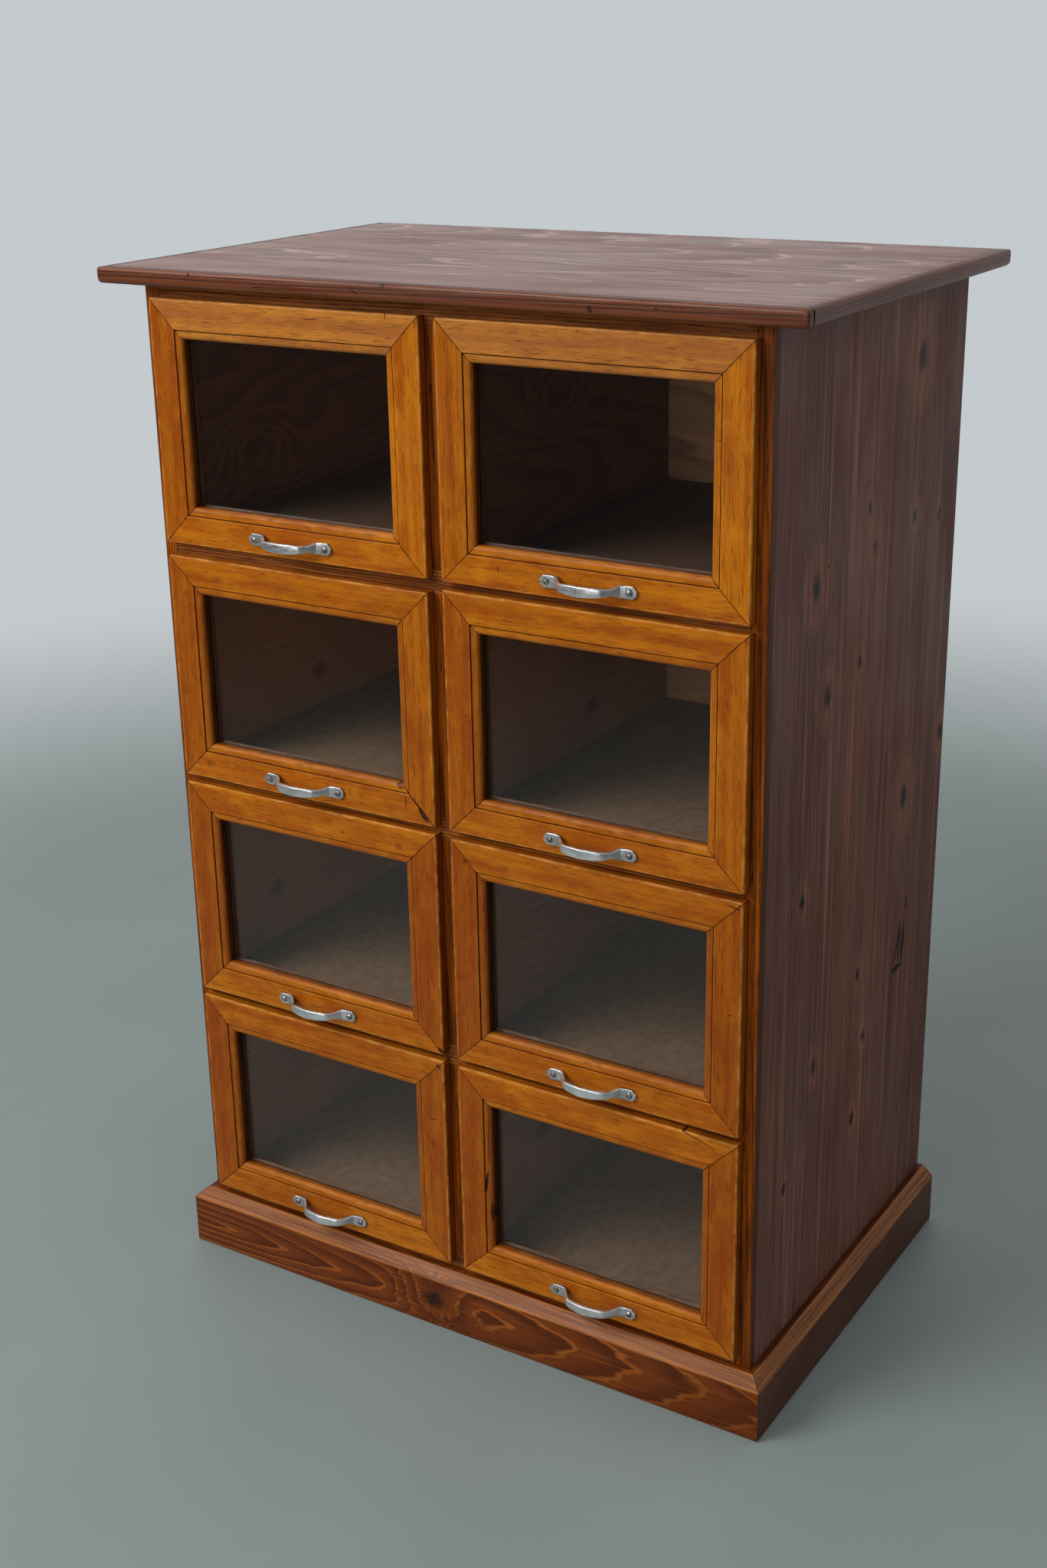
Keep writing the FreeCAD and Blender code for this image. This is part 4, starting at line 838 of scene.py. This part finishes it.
FRONT_MARKS = {
    ("top", "left"): [(-49.5, 1204.6, 0.7, 5, 0, 0.8), (-312.6, 952.3, 1, 1, 0, 1.0),
                      (-145, 1195, 13, 0.6, 2, 0.5)],
    ("top", "right"): [(80, 956, 0.7, 4.5, 0, 0.7), (330, 1110, 0.9, 0.9, 0, 0.9)],
    ("upper", "left"): [(-31, 673.8, 31, 1.1, 135, 0.9), (-56, 692.8, 6, 3.2, -40, 0.7),
                        (-24.4, 664.3, 12, 3.8, -50, 0.9), (-47.5, 675.3, 0.8, 9, 0, 0.8),
                        (-124, 673.8, 0.6, 7, 0, 0.7), (-154.3, 686.7, 1.2, 1.2, 0, 1.0),
                        (-330, 670.2, 0.6, 6, 15, 0.6), (-327, 672, 4, 0.6, -20, 0.6)],
    ("upper", "right"): [(260, 685, 9, 0.6, 3, 0.5), (36, 790, 0.9, 0.9, 0, 0.9)],
    ("lower", "left"): [(-137.8, 621.8, 1.2, 1.2, 0, 1.0), (-60, 619, 6, 5, 0, 0.25),
                        (-13, 376, 3, 5, 45, 0.9)],
    ("lower", "right"): [(28.5, 620.3, 6, 0.8, -45, 0.9), (28.5, 620.3, 5, 0.7, 40, 0.8),
                         (352.1, 513.4, 1.2, 1.2, 0, 1.0), (356, 636, 9, 1.6, -8, 0.6)],
    ("bottom", "left"): [(-26.5, 281.9, 7, 0.6, 10, 0.9), (-17, 354, 5, 2.2, -45, 0.8),
                         (-29, 250, 5, 0.5, -15, 0.7)],
    ("bottom", "right"): [(316, 357.1, 29, 0.8, -16, 0.9), (289.2, 364.7, 2.4, 1.6, 0, 1.0),
                          (337, 363, 28, 6.6, -5, 0.35), (48.8, 278, 43, 0.7, 88, 0.8),
                          (45, 218, 18, 2.2, 82, 1.0), (51.3, 179, 12, 2.4, 90, 0.7)],
}
SIDE_TONE = {-1: {"top": 0.46, "upper": 0.50, "lower": 0.62, "bottom": 0.62},
             1: {"top": 0.22, "upper": 0.40, "lower": 0.60, "bottom": 0.52}}
RAIL_TONE = {"top": 0.20, "upper": 0.28, "lower": 0.30, "bottom": 0.24}
HAZY = -0.40  # the tone of the rails along the top, whose varnish has gone dull

MITRE_GAP = 0.00012
MEMBER, STRIP = 43.0, 10.0
SIDE_LIP, RAIL_LIP = 18.0, 9.75


def member_section(lip, soot_and_shade):
    """Face arris, flat, quirk and sunk strip, sight edge, pane rebate, tongue in the opening, lip; the
    wall beside the pane is painted dark as shade by the given share, more on the side members than the rails."""
    foot = MEMBER - STRIP
    return profile([
        (0, 0, 1.6, 0.7, 0), (foot - 0.2, 0, 0.35, 0.3, 0),
        # the quirk at the step: dark with old polish and with painted shade
        (foot, 2.0, 0, 0, 1.0), (foot + 1.0, 2.0, 0, 0, 1.0), (foot + 1.3, 1.2, 0, 0, 0),
        # the sight edge and the wall beside the pane: painted shade
        (MEMBER, 1.2, 4.2, 0.15, 0.2 * soot_and_shade), (MEMBER, 6.0, 0, 0, soot_and_shade), (MEMBER, 9.5, 0, 0, soot_and_shade + 0.1),
        # from the rebate round to the lip's outer face, the darkening is painted shade
        (MEMBER, 13, 0.4, 0.1, 0.85), (34, 13, 0, 0, 0.8), (34, 22, 0, 0, 0),
        (lip, 22, 0, 0, 0), (lip, 13, 0, 0, 0),
        (0, 13, 1.0, 0.0, 0.85), (0, 5, 0, 0, 0.7)])


def member(front, draw, section, half, put, stations, tone, vary):
    """One mitred member, half its length each way from the middle, cut from the log at random."""
    log = (draw.uniform(0, 9), draw.uniform(0, 3), draw.uniform(0, 3))
    front.board(section, lambda across, depth: -half + across + MITRE_GAP,
                lambda across, depth: half - across - MITRE_GAP, put, log, stations=stations,
                mitres="low high", hollow=0.0003, seed=draw.uniform(0, 99), tone=tone + draw.uniform(*vary))


for row, column, number, hand in PLACES:
    low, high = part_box(f"drawer_front_{row}_{column}")
    middle, half = (low + high) / 2, (high - low) / 2
    draw = random.Random(100 + number * 2 + hand)
    front = Joinery()
    for side in (-1, 1):
        member(front, draw, member_section(RAIL_LIP, soot_and_shade=0.55), half.x,
               lambda along, across, depth: Vector(
                   (middle.x + along, low.y + depth, middle.z + side * (half.z - across))),
               stations=72, tone=HAZY if (row, side) == ("top", 1) else RAIL_TONE[row], vary=(-0.06, 0.10))
        member(front, draw, member_section(SIDE_LIP, soot_and_shade=0.86), half.z,
               lambda along, across, depth: Vector(
                   (middle.x + side * (half.x - across), low.y + depth, middle.z + along)),
               stations=60, tone=SIDE_TONE[side][row], vary=(-0.05, 0.08))
    varnish = varnished(f"varnish_{row}_{column}", FRONT_MARKS[row, column])
    front.piece(f"moulded_front_{row}_{column}", varnish, f"drawer_{row}_{column}",
                f"drawer_front_{row}_{column}")

# Panes and beads: thin window glass with a film of dust, held from behind by four small mitred beads
# that have gone brown with it.

pane = Finish("window_glass", gloss=0.02, index=1.34)
dust = pane.cloud(pane.object_place(), (7, 7, 7), detail=5)
pane.wear(Transmission_Weight=1.0, Base_Color=pane.mix(dust, chip(240, 244, 243), chip(226, 232, 232)))

bead = Finish("dusty_bead", gloss=0.7)
place = bead.object_place()
speck = bead.cloud(place, (60, 200, 60), detail=4)
soot_and_shade = bead.cloud(place, (9, 9, 30), detail=3)
upward = bead.parts(bead.add("NewGeometry", {}, out="Normal"))[2]
settled = bead.mix(bead.span(speck, 0.3, 0.7), chip(122, 94, 76), chip(98, 72, 56))
bead.colour = bead.mix(bead.span(upward, 0.5, 0.9), chip(84, 56, 38), settled)
bead.coat(bead.span(soot_and_shade, 0.4, 0.8, 0.0, 0.6), chip(70, 50, 40))
bead.wear(Base_Color=bead.colour)
bead.relief(0.0002, (speck, 1.0))

for row, column, *_ in PLACES:
    dress(f"glass_{row}_{column}", pane).visible_shadow = False
    dress(f"glazing_beads_{row}_{column}", bead)

# Pulls: bow pulls cast in aluminium and filed along the front, so that the edges are bright and round.
# Flat pads with clipped corners, narrow necks, and a grip that swells towards its middle.

metal = Finish("cast_aluminium", gloss=0.40, metal=1.0)
place = metal.object_place()
drag = metal.cloud(place, (60, 400, 900), detail=3)
cast = metal.cloud(place, (240, 240, 240), detail=4)
film = metal.cloud(place, (50, 90, 90), detail=3)
tarnish = metal.times(metal.spot("dirt_and_shade"), metal.span(film, 0.25, 0.6, 0.25, 0.8))
metal.colour = metal.mix(metal.span(film, 0.3, 0.8), chip(240, 240, 240), chip(200, 202, 206))
metal.coat(tarnish, chip(70, 62, 54))
metal.wear(Base_Color=metal.colour,
           Roughness=metal.sum("MULTIPLY_ADD", tarnish, 0.25, metal.span(drag, 0.3, 0.7, 0.27, 0.42)))
metal.relief(0.00008, (drag, 1.0), (cast, 0.5))

PAD_START, PAD_END, PAD_THICK, PAD_HALF, PAD_CLIP = 38.5, 56.0, 3.0, 6.8, 4.3
PAD_BEND = 42.0  # from here outwards the strap lies flat
NECK, NECK_THIN, NECK_REACH = 36.0, 0.6, 6.0  # the strap is thinner round the neck
STRAP_THICK = 4.0
WAIST, WAIST_HALF, GRIP_HALF, GRIP_REACH = 29.5, 4.0, 5.5, 24.0
PAD_ROUND, STRAP_ROUND, GRIP_FLATTER, BACK_ROUND, END_CUT = 1.0, 1.7, 0.6, 0.7, 0.5
CLEAN, CLEAN_FADE = 28.0, 10.0  # hands keep the grip clean out to here
SOILED_BACK, SOILED_FACE = 0.9, 0.45
STRAP_LINE = [(PAD_END, 1.5), (53.0, 1.5), (46.0, 1.5), (39.5, 1.5), (36.0, 3.2), (30.5, 10.5), (25.5, 17.0),
              (21.0, 19.2), (10.0, 21.8), (0.0, 23.0)]
ARC_STEPS = 4
CORNERS = [(1, 1, 0), (-1, 1, 90), (-1, -1, 180), (1, -1, 270)]  # up or down, front or back, first angle


def eased(points, rounds=3):
    """A strap's line with its bends eased by cutting the corners again and again."""
    for _ in range(rounds):
        cut = [points[0]]
        for first, second in zip(points, points[1:]):
            cut.append(tuple(0.75 * a + 0.25 * b for a, b in zip(first, second)))
            cut.append(tuple(0.25 * a + 0.75 * b for a, b in zip(first, second)))
        points = cut + [points[-1]]
    return points


def strap_half_height(reach):
    """Half the strap's height at a distance from the middle of the pull."""
    if reach > PAD_END - PAD_CLIP:
        return PAD_HALF - (reach - (PAD_END - PAD_CLIP))
    if reach > PAD_START:
        return PAD_HALF
    if reach > WAIST:
        share = (reach - WAIST) / (PAD_START - WAIST)
        return WAIST_HALF + (PAD_HALF - WAIST_HALF) * share * share * (3 - 2 * share)
    return WAIST_HALF + (GRIP_HALF - WAIST_HALF) * math.cos(reach / WAIST * math.pi / 2) ** 0.8


def pull_seat(place):
    """The middle of a drawer's pull, on the face of the front."""
    low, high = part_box("pull_" + place)
    middle = (low + high) / 2
    return Vector((middle.x, high.y, middle.z))


def pull_mesh(name, seat):
    mesh = bmesh.new()
    soil = mesh.verts.layers.float.new("dirt_and_shade")
    half_line = eased(STRAP_LINE)
    line = half_line + [(-x, off) for x, off in reversed(half_line[:-1])]
    rings = []
    for number, (x, off) in enumerate(line):
        before, after = line[max(0, number - 1)], line[min(len(line) - 1, number + 1)]
        run = Vector((after[0] - before[0], after[1] - before[1])).normalized()
        out = Vector((-run.y, run.x))
        if out.y < 0:
            out = -out
        reach = abs(x)
        thick, front_round = PAD_THICK, PAD_ROUND
        if reach <= PAD_BEND:
            thick = STRAP_THICK - NECK_THIN * max(0.0, 1 - abs(reach - NECK) / NECK_REACH)
            front_round = STRAP_ROUND - GRIP_FLATTER * max(0.0, 1 - (reach / GRIP_REACH) ** 2)
        inset = END_CUT if number in (0, len(line) - 1) else 0.0
        half = strap_half_height(reach)
        soiled = max(0.0, min(1.0, (reach - CLEAN) / CLEAN_FADE))
        ring = []
        for rise, face, first in CORNERS:
            radius = front_round if face > 0 else BACK_ROUND
            deep = min(radius, thick / 2 - 0.1)
            for step in range(ARC_STEPS + 1):
                angle = math.radians(first + step * 90 / ARC_STEPS)
                u = rise * (half - radius - inset) + radius * math.cos(angle)
                v = face * (thick / 2 - deep - inset) + deep * math.sin(angle)
                at = Vector((x, off)) + out * v
                vert = mesh.verts.new((seat.x + at.x * MM, seat.y - at.y * MM, seat.z + u * MM))
                vert[soil] = soiled * (SOILED_BACK if v < thick / 2 - 0.4 else SOILED_FACE)
                ring.append(vert)
        rings.append(ring)
    skin(mesh, rings)
    return plain_mesh(name, mesh, metal, crease=35)


for row, column, *_ in PLACES:
    name = f"bow_pull_{row}_{column}"
    made = stand(name, pull_mesh(name, pull_seat(f"{row}_{column}")))
    fit(made, f"drawer_{row}_{column}", f"pull_{row}_{column}")

# Pull screws: two slotted round-head steel screws to a pull, each driven home to its own angle and
# dark with handling.

steel = Finish("screw_steel", gloss=0.38, metal=1.0)
rust = steel.cloud(steel.object_place(), (500, 500, 500), detail=4)
steel.wear(Base_Color=steel.mix(steel.span(rust, 0.35, 0.65), chip(190, 188, 184), chip(84, 76, 68)),
           Roughness=steel.span(rust, 0.3, 0.7, 0.30, 0.55))
steel.relief(0.00006, (rust, 1.0))

WASTE = 0.04  # the block cut away under the head, and the length of the saw cut

heads = bpy.data.node_groups.new("slotted_heads", "GeometryNodeTree")
heads.is_modifier = True
HEAD = {"Head radius": 3.9 * MM, "Head height": 2.6 * MM, "Slot width": 0.9 * MM, "Slot depth": 1.2 * MM}
for label, kind in (("Geometry", "Geometry"), *((label, "Float") for label in HEAD), ("Seed", "Int"),
                    ("Finish", "Material")):
    heads.interface.new_socket(label, in_out="INPUT", socket_type="NodeSocket" + kind)
heads.interface.new_socket("Geometry", in_out="OUTPUT", socket_type="NodeSocketGeometry")
entry = {item.name: item.identifier for item in heads.interface.items_tree if item.in_out == "INPUT"}


def reckon(operation, first, second):
    return wire(heads, "ShaderNodeMath", {0: first, 1: second}, operation=operation)


def point(x=0.0, y=0.0, z=0.0):
    return wire(heads, "ShaderNodeCombineXYZ", {0: x, 1: y, 2: z})


def moved(shape, by):
    return wire(heads, "GeometryNodeTransform", {"Geometry": shape, "Translation": by})


given = heads.nodes.new("NodeGroupInput").outputs
radius, tall = given["Head radius"], given["Head height"]
squares = reckon("ADD", reckon("MULTIPLY", radius, radius), reckon("MULTIPLY", tall, tall))
ball = reckon("DIVIDE", squares, reckon("MULTIPLY", tall, 2.0))
globe = wire(heads, "GeometryNodeMeshUVSphere", {"Segments": 32, "Rings": 40, "Radius": ball})
sunk = moved(globe, point(z=reckon("SUBTRACT", tall, ball)))
under = moved(wire(heads, "GeometryNodeMeshCube", {"Size": (WASTE, WASTE, WASTE)}), (0.0, 0.0, -WASTE / 2))
slot = point(WASTE, given["Slot width"], reckon("MULTIPLY", given["Slot depth"], 2.0))
slot = moved(wire(heads, "GeometryNodeMeshCube", {"Size": slot}), point(z=tall))
waste = wire(heads, "GeometryNodeJoinGeometry", {0: under})
feed(heads, waste.node, {0: slot})
dome = wire(heads, "GeometryNodeMeshBoolean", {0: sunk, 1: waste}, operation="DIFFERENCE", solver="EXACT")
spin = wire(heads, "FunctionNodeRandomValue", {2: 0.0, 3: math.pi, "Seed": given["Seed"]}, out=1,
            data_type="FLOAT")
spread = wire(heads, "GeometryNodeInstanceOnPoints", {"Points": given["Geometry"], "Instance": dome,
                                                      "Rotation": point(math.pi / 2, spin)})
real = wire(heads, "GeometryNodeRealizeInstances", {0: spread})
clad = wire(heads, "GeometryNodeSetMaterial", {"Geometry": real, "Material": given["Finish"]})
feed(heads, heads.nodes.new("NodeGroupOutput"), {0: clad})

SCREW_SPREAD = 0.048
for row, column, number, hand in PLACES:
    name = f"slotted_screws_{row}_{column}"
    seat = pull_seat(f"{row}_{column}") - Vector((0, PAD_THICK * MM, 0))
    seats = bpy.data.meshes.new(name)
    seats.from_pydata([seat + Vector((side * SCREW_SPREAD, 0, 0)) for side in (-1, 1)], [], [])
    made = stand(name, seats)
    cutting = made.modifiers.new("heads", "NODES")
    cutting.node_group = heads
    for label, amount in (*HEAD.items(), ("Seed", number * 2 + hand + 3), ("Finish", steel.surface)):
        cutting[entry[label]] = amount
    bpy.context.view_layer.update()
    made.data = bpy.data.meshes.new_from_object(made.evaluated_get(bpy.context.evaluated_depsgraph_get()))
    made.modifiers.remove(cutting)
    smooth(made.data, crease=40)
    fit(made, f"drawer_{row}_{column}", f"pull_screws_{row}_{column}")

low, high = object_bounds()
